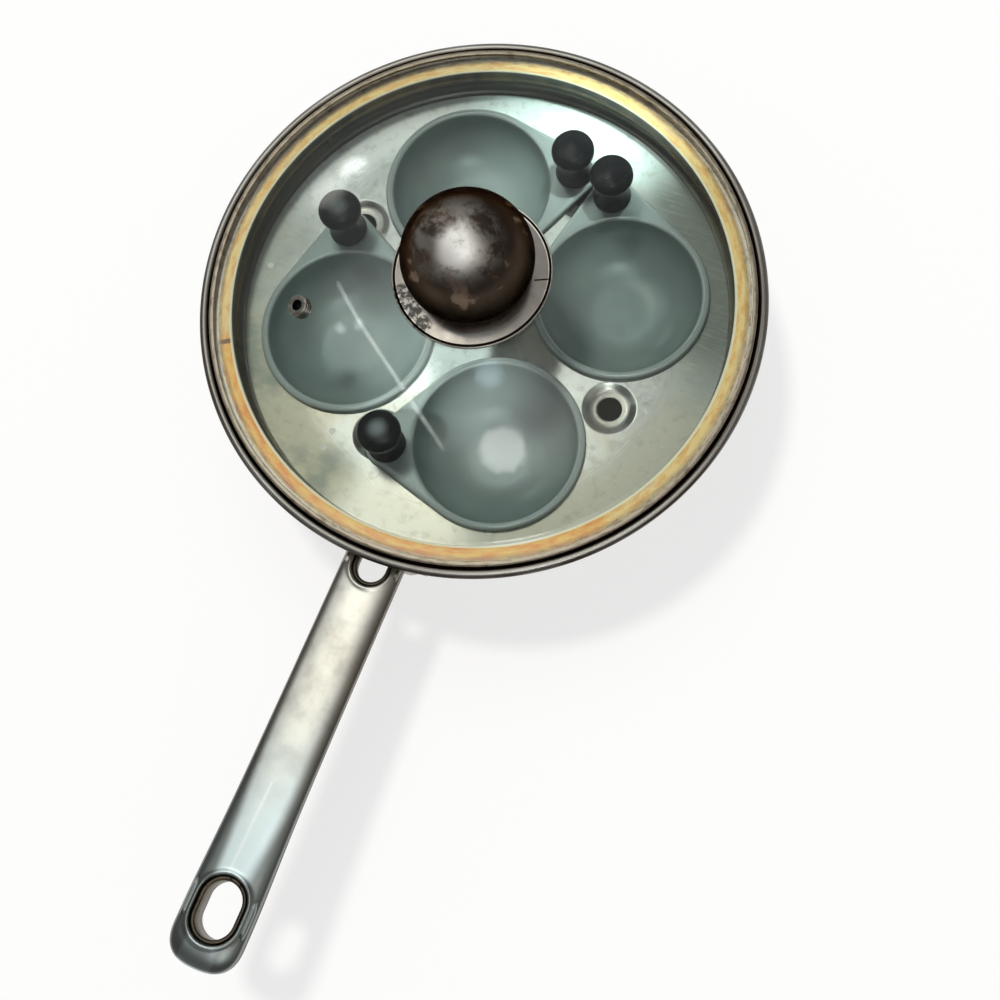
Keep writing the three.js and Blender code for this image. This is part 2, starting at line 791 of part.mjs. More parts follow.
function screw(shankRadius, headRadius, headBottom, headTop, tip) {
  return turned([
    point(0, headBottom),
    point(headRadius, headBottom),
    point(headRadius, headTop),
    point(shankRadius, headTop),
    point(shankRadius, tip),
    point(0, tip),
  ], smallSides);
}

function cupScrew() {
  const headTop = -cupFlangeSheet - seatGap;
  return screw(cupScrewRadius, cupScrewHeadRadius, headTop - cupScrewHeadHeight, headTop, cupScrewLength);
}

function cupAssembly(place, number) {
  const cup = new THREE.Group();
  cup.position.set(0, 0, cupFootHeight);
  cup.rotation.z = THREE.MathUtils.degToRad(cupAngle(number));
  const swung = new THREE.Group();
  swung.position.set(cupCircleRadius, 0, 0);
  swung.rotation.z = THREE.MathUtils.degToRad(place.tabAngle);
  const knobAxis = new THREE.Group();
  knobAxis.position.set(tabReach, 0, cupFlangeRise);
  const insert = threadedInsert(cupInsertRadius, cupScrewRadius, seatGap, cupInsertLength);
  swung.add(node(`cup_${place.name}_bowl`, cupBowl(), nonStick));
  knobAxis.add(node(`cup_${place.name}_knob`, cupKnob(), blackPlastic));
  knobAxis.add(node(`cup_${place.name}_insert`, insert, brass));
  knobAxis.add(node(`cup_${place.name}_screw`, cupScrew(), steel));
  swung.add(knobAxis);
  cup.add(swung);
  return cup;
}

// Lid

function glassOutline() {
  const sphereDrop = domeSphereRadius - (glassApex - glassUnderside);
  const underEdge = Math.sqrt((domeSphereRadius - glassThickness) ** 2 - sphereDrop ** 2);
  const under = [point(glassHoleRadius, domeHeight(glassHoleRadius, glassThickness))];
  const over = [];
  for (let i = 0; i <= glassSteps; i += 1) {
    const share = i / glassSteps;
    const underRadius = knobSealRadius + (underEdge - knobSealRadius) * share;
    const overRadius = glassDomeRadius + (knobSealRadius - glassDomeRadius) * share;
    under.push(point(underRadius, domeHeight(underRadius, glassThickness)));
    over.push(point(overRadius, domeHeight(overRadius, 0)));
  }
  over.push(point(glassHoleRadius, domeHeight(glassHoleRadius, 0)));
  return [...under, point(glassRadius, glassUnderside), point(glassRadius, glassTop), ...over];
}

// A piece made along +Z at the top of the glass, laid square to it at the vent
function atVent(geometry) {
  const tilt = Math.asin(ventCircleRadius / domeSphereRadius);
  geometry.rotateY(tilt);
  geometry.translate(ventCircleRadius, 0, domeHeight(ventCircleRadius, 0));
  geometry.rotateZ(THREE.MathUtils.degToRad(ventAngle));
  return geometry;
}

function lidGlass() {
  const cutter = rod(
    ventBarrelRadius + ventFit,
    -glassThickness - overrun,
    overrun,
    smallSides,
  );
  return geometryOf(solidOf(turnedRing(glassOutline(), ringSides)).subtract(solidOf(atVent(cutter))));
}

function ventEyelet() {
  const top = seatGap;
  const bottom = -glassThickness - seatGap;
  return atVent(turnedRing([
    point(ventBoreRadius, bottom - ventFlangeThickness),
    point(ventFlangeRadius, bottom - ventFlangeThickness),
    point(ventFlangeRadius, bottom),
    point(ventBarrelRadius, bottom),
    point(ventBarrelRadius, top),
    point(ventFlangeRadius, top),
    point(ventFlangeRadius - ventFlangeThickness, top + ventFlangeThickness),
    point(ventBoreRadius, top + ventFlangeThickness),
  ], smallSides));
}

function lidBand() {
  const hookTop = glassTop + seatGap + bandSheet;
  const skirtBottom = bandFlangeUnderside - bandSkirtDepth;
  const skirtOuter = bandSkirtRadius + bandSheet;
  return turnedRing([
    point(bandSkirtRadius, skirtBottom),
    point(skirtOuter, skirtBottom),
    point(skirtOuter, bandFlangeUnderside),
    point(bandRadius - bandSheet, bandFlangeUnderside),
    point(bandRadius, bandFlangeTop),
    point(bandRadius, hookTop - bandSheet),
    point(bandRadius - bandSheet, hookTop),
    point(bandHookInnerRadius, hookTop),
    point(bandHookInnerRadius, hookTop - bandSheet),
    point(bandRadius - bandSheet, hookTop - bandSheet),
    point(bandRadius - bandSheet, bandFlangeTop),
    point(bandSkirtRadius + bandSheet, bandFlangeTop),
    point(bandSkirtRadius, bandFlangeTop - bandSheet),
  ], ringSides);
}

function knobPlate() {
  const bore = knobScrewRadius + threadFit;
  const middle = knobPlateUnderside;
  const rim = domeHeight(knobPlateRadius, 0) + knobPlateRimGap;
  return turnedRing([
    point(bore, middle),
    point(knobPlateFlatRadius, middle),
    point(knobPlateRadius - knobPlateLip, rim),
    point(knobPlateRadius, rim),
    point(knobPlateRadius, rim + knobPlateSheet + knobPlateLip),
    point(knobPlateRadius - knobPlateLip, rim + knobPlateSheet + knobPlateLip),
    point(knobPlateRadius - 2 * knobPlateLip, rim + knobPlateSheet),
    point(knobPlateFlatRadius, middle + knobPlateSheet),
    point(bore, middle + knobPlateSheet),
  ], ballSides);
}

function knobBall() {
  const top = ballUnderside + ballHeight;
  const centre = top - ballRadius;
  const bore = knobInsertRadius + seatGap;
  const boreTop = ballUnderside + knobInsertLength + seatGap;
  const neckDrop = (centre - ballUnderside) * ballNeckShare;
  const lowAngle = -THREE.MathUtils.radToDeg(Math.asin(neckDrop / ballRadius));
  return turned([
    point(0, boreTop),
    point(bore, boreTop),
    point(bore, ballUnderside),
    point(ballFootRadius, ballUnderside),
    ...arc(0, centre, ballRadius, lowAngle, 90, ballSteps),
  ], ballSides);
}

function knobStack() {
  const bore = knobScrewRadius + threadFit;
  const underGlass = glassApex - glassThickness;
  const washerTop = underGlass - seatGap - knobSealThickness - seatGap;
  const headTop = washerTop - underWasherThickness - seatGap;
  const sealTop = knobSealUnderside + knobSealThickness;
  const lowSealTop = underGlass - seatGap;
  return [
    node('knob_seal', tube(bore, knobSealRadius, knobSealUnderside, sealTop, smallSides), silicone),
    node('under_seal', tube(
      bore,
      underWasherRadius,
      lowSealTop - knobSealThickness,
      lowSealTop,
      smallSides,
    ), silicone),
    node('under_washer', tube(
      bore,
      underWasherRadius,
      washerTop - underWasherThickness,
      washerTop,
      smallSides,
    ), steel),
    node('knob_screw', screw(
      knobScrewRadius,
      knobScrewHeadRadius,
      headTop - knobScrewHeadHeight,
      headTop,
      ballUnderside + knobScrewDepth,
    ), steel),
    node('knob_insert', threadedInsert(
      knobInsertRadius,
      knobScrewRadius,
      ballUnderside,
      knobInsertLength,
    ), brass),
  ];
}

// The whole object

const pan = new THREE.Group();
pan.add(node('pan_shell', panShell(), steel));
pan.add(node('base_core', baseCore(), aluminium));
pan.add(node('base_cap', baseCap(), steel));
pan.add(node('handle_bracket', handleBracket(), steel));
pan.add(node('rivet_left', rivet(-1), steel));
pan.add(node('rivet_right', rivet(1), steel));
const shells = handleShells();
pan.add(node('handle_upper', shells.upper, polishedSteel));
pan.add(node('handle_lower', shells.lower, polishedSteel));

const lid = new THREE.Group();
lid.add(node('lid_glass', lidGlass(), clearGlass));
lid.add(node('lid_band', lidBand(), steel));
lid.add(node('vent_eyelet', ventEyelet(), polishedSteel));
lid.add(node('knob_plate', knobPlate(), polishedSteel));
lid.add(node('knob_ball', knobBall(), ballPlastic));
lid.add(...knobStack());

const tray = new THREE.Group();
tray.add(node('poacher_tray', poacherTray(), steel));

const eggPoacher = new THREE.Group();
eggPoacher.add(pan, tray, lid);
cupPlaces.forEach((place, number) => eggPoacher.add(cupAssembly(place, number)));

export default eggPoacher;
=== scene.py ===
# Looks of the egg poacher pan: fine surfaces, materials, light and camera. Metres, +Z up,
# the handle along -Y
import math

import bmesh
import bpy
from mathutils import Matrix, Vector
from mathutils.geometry import tessellate_polygon


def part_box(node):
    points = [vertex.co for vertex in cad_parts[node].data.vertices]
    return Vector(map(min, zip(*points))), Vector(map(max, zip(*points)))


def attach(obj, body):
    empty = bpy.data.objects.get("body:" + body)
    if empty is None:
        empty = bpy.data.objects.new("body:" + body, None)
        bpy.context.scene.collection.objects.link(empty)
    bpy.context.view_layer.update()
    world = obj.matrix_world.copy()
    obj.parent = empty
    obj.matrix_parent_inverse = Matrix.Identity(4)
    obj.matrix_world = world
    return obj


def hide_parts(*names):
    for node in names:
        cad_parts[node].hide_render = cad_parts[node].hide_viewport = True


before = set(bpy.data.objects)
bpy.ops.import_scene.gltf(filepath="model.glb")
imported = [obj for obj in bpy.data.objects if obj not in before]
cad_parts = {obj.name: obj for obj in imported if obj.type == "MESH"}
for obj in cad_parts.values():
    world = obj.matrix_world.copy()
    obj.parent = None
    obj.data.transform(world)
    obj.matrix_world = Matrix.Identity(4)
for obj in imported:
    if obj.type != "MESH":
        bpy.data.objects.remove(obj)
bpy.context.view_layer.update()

mm = 0.001

# Facets of the fine surfaces
round_sides = 256
ball_sides = 128
knob_sides = 96
small_sides = 48
bend_steps = 5
sharp_angle = 38  # degrees between two faces, above which their edge is drawn sharp
soft_angle = 60  # the same for the drawn and pressed sheets of cups and handle

# Places that the frame gives
pan_low, pan_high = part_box("pan_shell")
cap_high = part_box("base_cap")[1]
tray_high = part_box("poacher_tray")[1]
glass_low, glass_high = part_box("lid_glass")
band_low, band_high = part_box("lid_band")
plate_low, plate_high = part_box("knob_plate")
ball_low, ball_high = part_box("knob_ball")

# Fits and sheets
seat_gap = 0.3 * mm
pan_sheet = 0.9 * mm
cap_sheet = 0.7 * mm
tray_sheet = 0.7 * mm
band_sheet = 0.5 * mm
handle_sheet = 0.8 * mm

# Pan shell
rim_radius = pan_high.x
pan_height = pan_high.z
base_height = pan_low.z
curl_radius = 1.7 * mm
curl_tuck_angle = 50
shelf_drop = 6 * mm
shelf_width = 4.5 * mm
shelf_bend = 1.6 * mm
wall_taper = 1.4 * mm
wall_corner = 14 * mm
step_radius = rim_radius - 2 * curl_radius
wall_top_radius = step_radius - shelf_width + pan_sheet
wall_foot_radius = wall_top_radius - wall_taper
shelf_height = pan_height - shelf_drop

# Base cap
cap_radius = cap_high.x
cap_corner = 3.2 * mm
cap_groove = 0.25 * mm
cap_groove_step = 12.5 * mm

# Tray
tray_flange_radius = tray_high.x
tray_flange_top = tray_high.z
tray_wall_radius = wall_top_radius - pan_sheet - 2.2 * mm
tray_inside = tray_wall_radius - tray_sheet
tray_depth = 12.8 * mm
tray_corner = 3.2 * mm
tray_bend = 1.2 * mm
tray_floor = tray_flange_top - tray_depth
tray_support = 0.4 * mm  # of flat floor beside each bend and edge, so that the floor shades flat
steam_hole_radius = 4.4 * mm
steam_circle = 61 * mm
steam_dimple_depth = 1.2 * mm
steam_dimple_web = 1.4 * mm
steam_slope_share = 0.54
cup_edge_sides = 96
steam_sides = 72

# Cups
cup_names = ["right", "back", "left", "front"]
first_cup_angle = 27.1
cup_edge_gap = 9.8 * mm
cup_neighbour_gap = 6.4 * mm
cup_lip = 2.3 * mm
cup_hole_fit = 0.5 * mm
cup_sheet = 0.9 * mm
cup_flange_rise = 2.5 * mm
cup_depth = 18 * mm
cup_flat_radius = 9.8 * mm
cup_lip_roll = 1 * mm  # how far the rolled lip stands in over the wall
tab_overhang = 6.7 * mm
tab_end_radius = 8.5 * mm
cup_reach = tray_inside - cup_edge_gap
cup_circle = (cup_reach + cup_neighbour_gap / 2) / (1 + math.sin(math.pi / 4))
cup_flange_radius = cup_reach - cup_circle
cup_mouth_radius = cup_flange_radius - cup_lip
cup_hole_radius = cup_mouth_radius + cup_sheet + cup_hole_fit
tab_reach = cup_flange_radius + tab_overhang
cup_top = tray_floor + seat_gap + cup_flange_rise
# Millimetres out from the mouth and down from the top, from the bowl's wall over the lip
cup_lip_rows = [(-0.95, -2.2), (-0.8, -1.2), (-0.5, -0.55), (-0.1, -0.18), (0.25, -0.04), (0.5, 0)]
# Millimetres in from the flange's edge and down from the top
cup_flange_rows = [
    (1.5, -0.06), (1.15, -0.16), (0.8, -0.34), (0.45, -0.62), (0.2, -0.98), (0.05, -1.4), (0, -1.9),
]
# Of the knob's height and of its head's radius, from the foot up
cup_knob_shares = [
    (0, 0.8), (0, 0.89), (0.05, 0.9), (0.13, 0.83), (0.28, 0.71), (0.42, 0.68), (0.55, 0.7),
    (0.66, 0.86), (0.72, 0.97), (0.78, 1.0), (0.84, 0.99), (0.9, 0.92), (0.95, 0.76),
    (0.98, 0.5), (0.995, 0.22), (1, 0),
]

# Lid
glass_radius = glass_high.x
glass_thickness = 4 * mm
glass_edge_width = 7.2 * mm
glass_hole_radius = 4 * mm
glass_top = glass_low.z + glass_thickness
glass_apex = glass_high.z
dome_radius = glass_radius - glass_edge_width
dome_rise = glass_apex - glass_top
dome_sphere = (dome_radius ** 2 + dome_rise ** 2) / (2 * dome_rise)
band_radius = band_high.x
band_skirt_radius = tray_inside - 1.3 * mm - band_sheet
band_flange_top = glass_low.z - seat_gap
band_hook_radius = band_radius - 1.9 * mm
vent_circle = 65.1 * mm
vent_angle = -152.6
vent_barrel_radius = 2.4 * mm
vent_flange_radius = 4.1 * mm
vent_flange_thickness = 0.7 * mm
vent_bore_radius = 1.7 * mm
plate_radius = plate_high.x
plate_sheet = 0.8 * mm
plate_flat_radius = 12 * mm
plate_bore = 2.8 * mm
plate_lip = 0.6 * mm
ball_radius = 23.5 * mm
ball_foot_radius = 17 * mm
ball_neck_share = 0.8
insert_radius = 4.6 * mm
insert_length = 14 * mm

# Handle
handle_root_radius = wall_top_radius + 2 * seat_gap + 2 * mm
handle_root_height = shelf_height - pan_sheet - 6.4 * mm
handle_run = 154.3 * mm
handle_tip_rise = 10 * mm
handle_half_width = 13 * mm
handle_crown = 3.8 * mm
handle_belly = 9.5 * mm
handle_tip_length = 12 * mm
handle_roundness = 2.6
handle_length = math.hypot(handle_run, handle_tip_rise)
handle_slope = math.atan2(handle_tip_rise, handle_run)
hanging_hole_radius = 7.5 * mm
hanging_hole_half = 3 * mm
hanging_hole_centre = handle_length - 20.5 * mm
root_notch_radius = 6 * mm
root_notch_length = 11.4 * mm
root_fade = 18 * mm  # length over which the root's round end evens out
root_patch_end = 19 * mm
hole_patch_start = hanging_hole_centre - 17.5 * mm
hole_patch_end = hanging_hole_centre + 14.6 * mm
patch_share = 0.84  # of the half width, between the two edges of the patch round an opening
# Along the handle: share of length, of width, of crown and of belly
handle_shape_shares = [
    (0.0, 0.885, 0.79, 0.37),
    (0.22, 0.89, 0.82, 0.36),
    (0.45, 0.905, 0.85, 0.42),
    (0.64, 0.93, 0.91, 0.62),
    (0.78, 0.975, 0.97, 0.9),
    (0.86, 1.0, 1.0, 1.0),
    (1.0, 1.0, 1.0, 1.0),
]
# Each opening's edge in millimetres: how far out from it, which shell's face it follows
# (1 for the upper, -1 for the lower one) and how far over that face it lies
collar_clear = 1.3
upper_profile = [
    (collar_clear, 1, -1.6),
    (collar_clear, 1, -0.7),
    (collar_clear + 0.1, 1, -0.15),
    (collar_clear + 0.35, 1, 0.2),
    (collar_clear + 0.75, 1, 0.36),
    (collar_clear + 1.2, 1, 0.32),
    (collar_clear + 1.7, 1, 0.14),
    (collar_clear + 2.2, 1, 0.02),
    (collar_clear + 2.8, 1, 0),
]
lower_profile = [
    (0.9, 1, -1.5),
    (0.8, 1, -1.1),
    (0.4, 1, -0.95),
    (-0.3, 1, -1.1),
    (-0.6, 1, -1.6),
    (-0.6, -1, 1.4),
    (0.2, -1, 0.45),
    (0.6, -1, 0.1),
    (1.2, -1, 0),
]


# Outlines and pieces

def polar(radius, angle, height=0.0):
    """A point of a circle about +Z, its angle in radians"""
    return Vector((radius * math.cos(angle), radius * math.sin(angle), height))


def on_circle(radius, degrees):
    return polar(radius, math.radians(degrees))


def arc(centre_x, centre_y, radius, start, end, steps):
    """Points of a round stretch of an outline, angles in degrees, with no rounding of their own"""
    points = []
    for i in range(steps + 1):
        angle = math.radians(start + (end - start) * i / steps)
        points.append((centre_x + radius * math.cos(angle), centre_y + radius * math.sin(angle), 0))
    return points


def softened(corners, closed=False, steps=bend_steps):
    """An outline whose corners, given as x, y and how far the rounding reaches, are round"""
    points = []
    count = len(corners)
    for i, (x, y, reach) in enumerate(corners):
        at_end = not closed and i in (0, count - 1)
        if at_end or reach == 0:
            points.append((x, y))
            continue
        corner = Vector((x, y))
        before = Vector(corners[i - 1][:2]) - corner
        after = Vector(corners[(i + 1) % count][:2]) - corner
        start = corner + before.normalized() * min(reach, before.length / 2)
        end = corner + after.normalized() * min(reach, after.length / 2)
        for step in range(steps + 1):
            share = step / steps
            bend = start * (1 - share) ** 2 + corner * (2 * share * (1 - share)) + end * share ** 2
            points.append((bend.x, bend.y))
    return points


def turned(outline, sides=round_sides, closed=False, place=None):
    """Vertices and faces of an outline of radius and height turned about +Z"""
    vertices = []
    rows = []
    for radius, height, *_ in outline:
        first = len(vertices)
        if radius <= 0:
            rows.append([first] * sides)
            vertices.append(Vector((0, 0, height)))
            continue
        rows.append(list(range(first, first + sides)))
        vertices += [polar(radius, 2 * math.pi * side / sides, height) for side in range(sides)]
    if closed:
        rows.append(rows[0])
    faces = []
    for low, high in zip(rows, rows[1:]):
        for side in range(sides):
            after = (side + 1) % sides
            corners = [low[side], low[after], high[after], high[side]]
            faces.append(tuple(dict.fromkeys(corners)))
    if place is not None:
        vertices = [place @ vertex for vertex in vertices]
    return vertices, faces


def flipped(shape):
    return shape[0], [face[::-1] for face in shape[1]]


def joined(*parts):
    """Several lists of vertices and faces as one"""
    vertices = []
    faces = []
    for part_vertices, part_faces in parts:
        offset = len(vertices)
        vertices.extend(part_vertices)
        faces.extend(tuple(index + offset for index in face) for face in part_faces)
    return vertices, faces


def in_scene(name, data):
    """A new object of this mesh, lamp or camera"""
    added = bpy.data.objects.new(name, data)
    bpy.context.scene.collection.objects.link(added)
    return added


def mesh_object(name, shape):
    mesh = bpy.data.meshes.new(name)
    mesh.from_pydata([tuple(vertex) for vertex in shape[0]], [], shape[1])
    return in_scene(name, mesh)


def new_piece(name, shape, body, node, slot, material, sheet=0, sharp=sharp_angle):
    """A visible piece in place of a CAD node. With a sheet its shape is the side that shows, and
    the thickness lies behind it"""
    piece = mesh_object(name, shape)
    piece.data.validate()
    piece.data.shade_smooth()
    piece.data.set_sharp_from_angle(angle=math.radians(sharp))
    piece.data.materials.append(material)
    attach(piece, body)
    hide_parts(node)
    if sheet:
        modifier = piece.modifiers.new("sheet", "SOLIDIFY")
        modifier.thickness = sheet
        modifier.offset = -1
    return piece


# Nodes of the materials

def srgb(red, green, blue):
    """A colour written as it shows on screen, 0 to 255, as the linear colour that shaders use"""
    linear = []
    for channel in (red, green, blue):
        value = channel / 255
        linear.append(value / 12.92 if value <= 0.04045 else ((value + 0.055) / 1.055) ** 2.4)
    return (*linear, 1)


class Field:
    """What an output of a node gives at each place, with its sums written as for numbers"""

    def __init__(self, nodes, socket):
        self.nodes = nodes
        self.socket = socket

    def sum(self, operation, *others):
        return self.nodes.add("ShaderNodeMath", dict(enumerate((self, *others))), operation=operation)

    def __mul__(self, other):
        return self.sum("MULTIPLY", other)

    def __add__(self, other):
        return self.sum("ADD", other)

    def __sub__(self, other):
        return self.sum("SUBTRACT", other)

    def __or__(self, other):
        """The greater of the two"""
        return self.sum("MAXIMUM", other)

    def step(self, low, high, start=0.0, end=1.0):
        """Rises smoothly from start to end as the value goes from low to high"""
        return self.nodes.add("ShaderNodeMapRange", {
            0: self, "From Min": low, "From Max": high, "To Min": start, "To Max": end,
        }, interpolation_type="SMOOTHSTEP")

    def between(self, low, high, soft):
        """1 from low to high, falling to 0 over soft on either side"""
        return self.step(low - soft, low) * self.step(high, high + soft, 1, 0)

    def mix(self, first, second):
        """From first to second by this share. Colours are given as they show on screen"""
        first, second = [tone if isinstance(tone, Field) else srgb(*tone) for tone in (first, second)]
        return self.nodes.add("ShaderNodeMix", {0: self, 6: first, 7: second}, 2, data_type="RGBA")


class Nodes:
    """The nodes of a material or of the world"""

    def __init__(self, owner, output):
        owner.use_nodes = True
        self.owner = owner
        self.tree = owner.node_tree
        self.tree.nodes.clear()
        self.output = self.tree.nodes.new(output).inputs[0]

    def add(self, kind, inputs, outlet=0, **settings):
        node = self.tree.nodes.new(kind)
        for name, value in settings.items():
            setattr(node, name, value)
        for name, value in inputs.items():
            self.feed(node.inputs[name], value)
        return Field(self, node.outputs[outlet])

    def feed(self, socket, value):
        if isinstance(value, Field):
            self.tree.links.new(value.socket, socket)
        else:
            socket.default_value = value

    def vector(self, operation, first, second=None, outlet=0):
        inputs = {0: first}
        if second is not None:
            inputs["Scale" if operation == "SCALE" else 1] = second
        return self.add("ShaderNodeVectorMath", inputs, outlet, operation=operation)

    def light_path(self, outlet):
        return self.add("ShaderNodeLightPath", {}, outlet)


class Paint(Nodes):
    """A piece's material, with patterns that follow its shape. The colour, roughness and so on
    that it starts with are for programs that read no nodes"""

    def __init__(self, name, colour, roughness, metallic=0.0, transmission=0.0):
        super().__init__(bpy.data.materials.new(name), "ShaderNodeOutputMaterial")
        self.shader = self.add("ShaderNodeBsdfPrincipled", {
            "Base Color": srgb(*colour),
            "Roughness": roughness,
            "Metallic": metallic,
            "Transmission Weight": transmission,
        })
        self.feed(self.output, self.shader)
        self.place = self.add("ShaderNodeTexCoord", {}, "Object")
        split = self.add("ShaderNodeSeparateXYZ", {0: self.place}).socket.node
        self.x, self.y, self.z = [Field(self, socket) for socket in split.outputs]
        self.flat = self.add("ShaderNodeCombineXYZ", {0: self.x, 1: self.y})
        self.radius = self.vector("LENGTH", self.flat, outlet=1)
        self.angle = self.y.sum("ARCTAN2", self.x).sum("DEGREES")

    def set(self, socket, value):
        self.feed(self.shader.socket.node.inputs[socket], value)

    def finished(self, colour, roughness, height, depth, strength):
        """The material with its colour, its roughness and a relief of this height and depth"""
        self.set("Base Color", colour)
        self.set("Roughness", roughness)
        relief = {"Height": height, "Distance": depth, "Strength": strength}
        self.set("Normal", self.add("ShaderNodeBump", relief))
        return self.owner

    def scaled(self, *shares):
        return self.vector("MULTIPLY", self.place, shares)

    def ringed(self, around, across):
        """Coordinates for marks that run round the Z axis: around is how often they change on
        the way round, across how often they change from the middle out, per metre"""
        wide = self.vector("SCALE", self.vector("NORMALIZE", self.flat), around)
        out = self.add("ShaderNodeCombineXYZ", {2: self.radius * across})
        return self.vector("ADD", wide, out)

    def noise(self, scale, detail, roughness=0.5, place=None, distortion=0.0):
        return self.add("ShaderNodeTexNoise", {
            "Vector": place or self.place,
            "Scale": scale,
            "Detail": detail,
            "Roughness": roughness,
            "Distortion": distortion,
        })

    def spots(self, scale, size, soft):
        """Small round marks: 1 within size of points scattered scale to the metre"""
        cells = self.add("ShaderNodeTexVoronoi", {"Vector": self.place, "Scale": scale}, "Distance")
        return cells.step(size, size + soft, 1, 0)

    def near(self, away, inner, soft):
        """1 where the vector away is shorter than inner, falling to 0 over soft"""
        return self.vector("LENGTH", away, outlet=1).step(inner, inner + soft, 1, 0)

    def near_point(self, spot, inner, soft):
        """The same for a point in plan"""
        return self.near(self.vector("SUBTRACT", self.flat, (*spot, 0)), inner, soft)

    def near_line(self, start, end, inner, soft):
        """The same for a straight line in plan"""
        run = Vector((end[0] - start[0], end[1] - start[1], 0))
        away = self.vector("SUBTRACT", self.flat, (*start, 0))
        along = self.vector("DOT_PRODUCT", away, run / run.length_squared, 1)
        nearest = self.vector("SCALE", run, self.add("ShaderNodeClamp", {0: along}))
        return self.near(self.vector("SUBTRACT", away, nearest), inner, soft)

    def near_axis(self, point, direction, inner, soft):
        """The same for an axis in space"""
        away = self.vector("SUBTRACT", self.place, point)
        return self.near(self.vector("CROSS_PRODUCT", away, direction), inner, soft)


def steel(name, colour, roughness):
    return Paint(name, colour, roughness, 1.0)


# Materials

def pan_steel():
    paint = steel("pan_steel", (205, 203, 196), 0.26)
    fine = paint.noise(1, 4, 0.6, paint.ringed(0.6, 1400))
    broad = paint.noise(26, 4, 0.6)
    streaks = paint.noise(1, 2, 0.5, paint.ringed(0.8, 900)).step(0.5, 0.68)
    crevice = paint.radius.between(step_radius - 1.2 * mm, step_radius + 0.45 * mm, 0.5 * mm)
    flank = paint.radius.step(rim_radius - 1.1 * mm, rim_radius - 0.35 * mm)
    high = paint.z.step(shelf_height - 2 * mm, shelf_height + 1 * mm)
    inside = paint.z.step(shelf_height - 3 * mm, shelf_height - 12 * mm)
    # Painted shade in the groove beside the curl and a painted dark reflection on the curl's outer
    # flank, broken up like grime
    rim_shade_and_grime = (crevice | flank) * high * broad.step(0.3, 0.6, 0.7, 1)
    colour = broad.step(0.35, 0.7).mix((200, 197, 190), (180, 174, 164))
    colour = (streaks * high * 0.75).mix(colour, (92, 78, 66))
    colour = (inside * 0.2).mix(colour, (150, 144, 130))
    colour = rim_shade_and_grime.mix(colour, (46, 36, 28))
    return paint.finished(colour, fine.step(0.25, 0.75, 0.285, 0.4), fine, 0.02 * mm, 0.5)


# Its ring that the heat has browned: from and to which radius, and how soft the ends are
heated_ring = (50 * mm, 66 * mm, 12 * mm)


def base_steel():
    paint = steel("base_steel", (188, 184, 176), 0.3)
    rings = paint.noise(1, 3, 0.6, paint.ringed(0.5, 1600))
    heated = paint.radius.between(*heated_ring).step(0, 1, 0.25, 0.85)
    brown = paint.noise(18, 3, 0.55).step(0.35, 0.7) * heated
    colour = brown.mix((188, 184, 176), (146, 116, 78))
    return paint.finished(colour, rings.step(0.3, 0.7, 0.285, 0.42), rings, 0.03 * mm, 0.6)


# Marks on the tray, in plan
water_spots = [(-85.6 * mm, -9.7 * mm), (-35.9 * mm, -62.8 * mm), (-36.6 * mm, -69.8 * mm)]
# Its painted light: a pale place between the plate and the cups at the left and the front
tray_painted_bright_middle = ((-17 * mm, -30 * mm), (1 * mm, -15.5 * mm))
# Its painted reflections and painted shade round the middle: from and to which angle, how soft
# the ends are, and the tone, which is mottled where none is given
tray_painted_pale_zone = (-98, -80, 14)
tray_painted_light_zones = [
    ((122, 158, 20), (246, 252, 246)),
    ((14, 54, 18), (122, 129, 120)),
    ((-152, -104, 18), None),
    ((-62, -14, 18), (194, 193, 174)),
    (tray_painted_pale_zone, (255, 250, 226)),
    ((72, 106, 20), (236, 255, 250)),
]


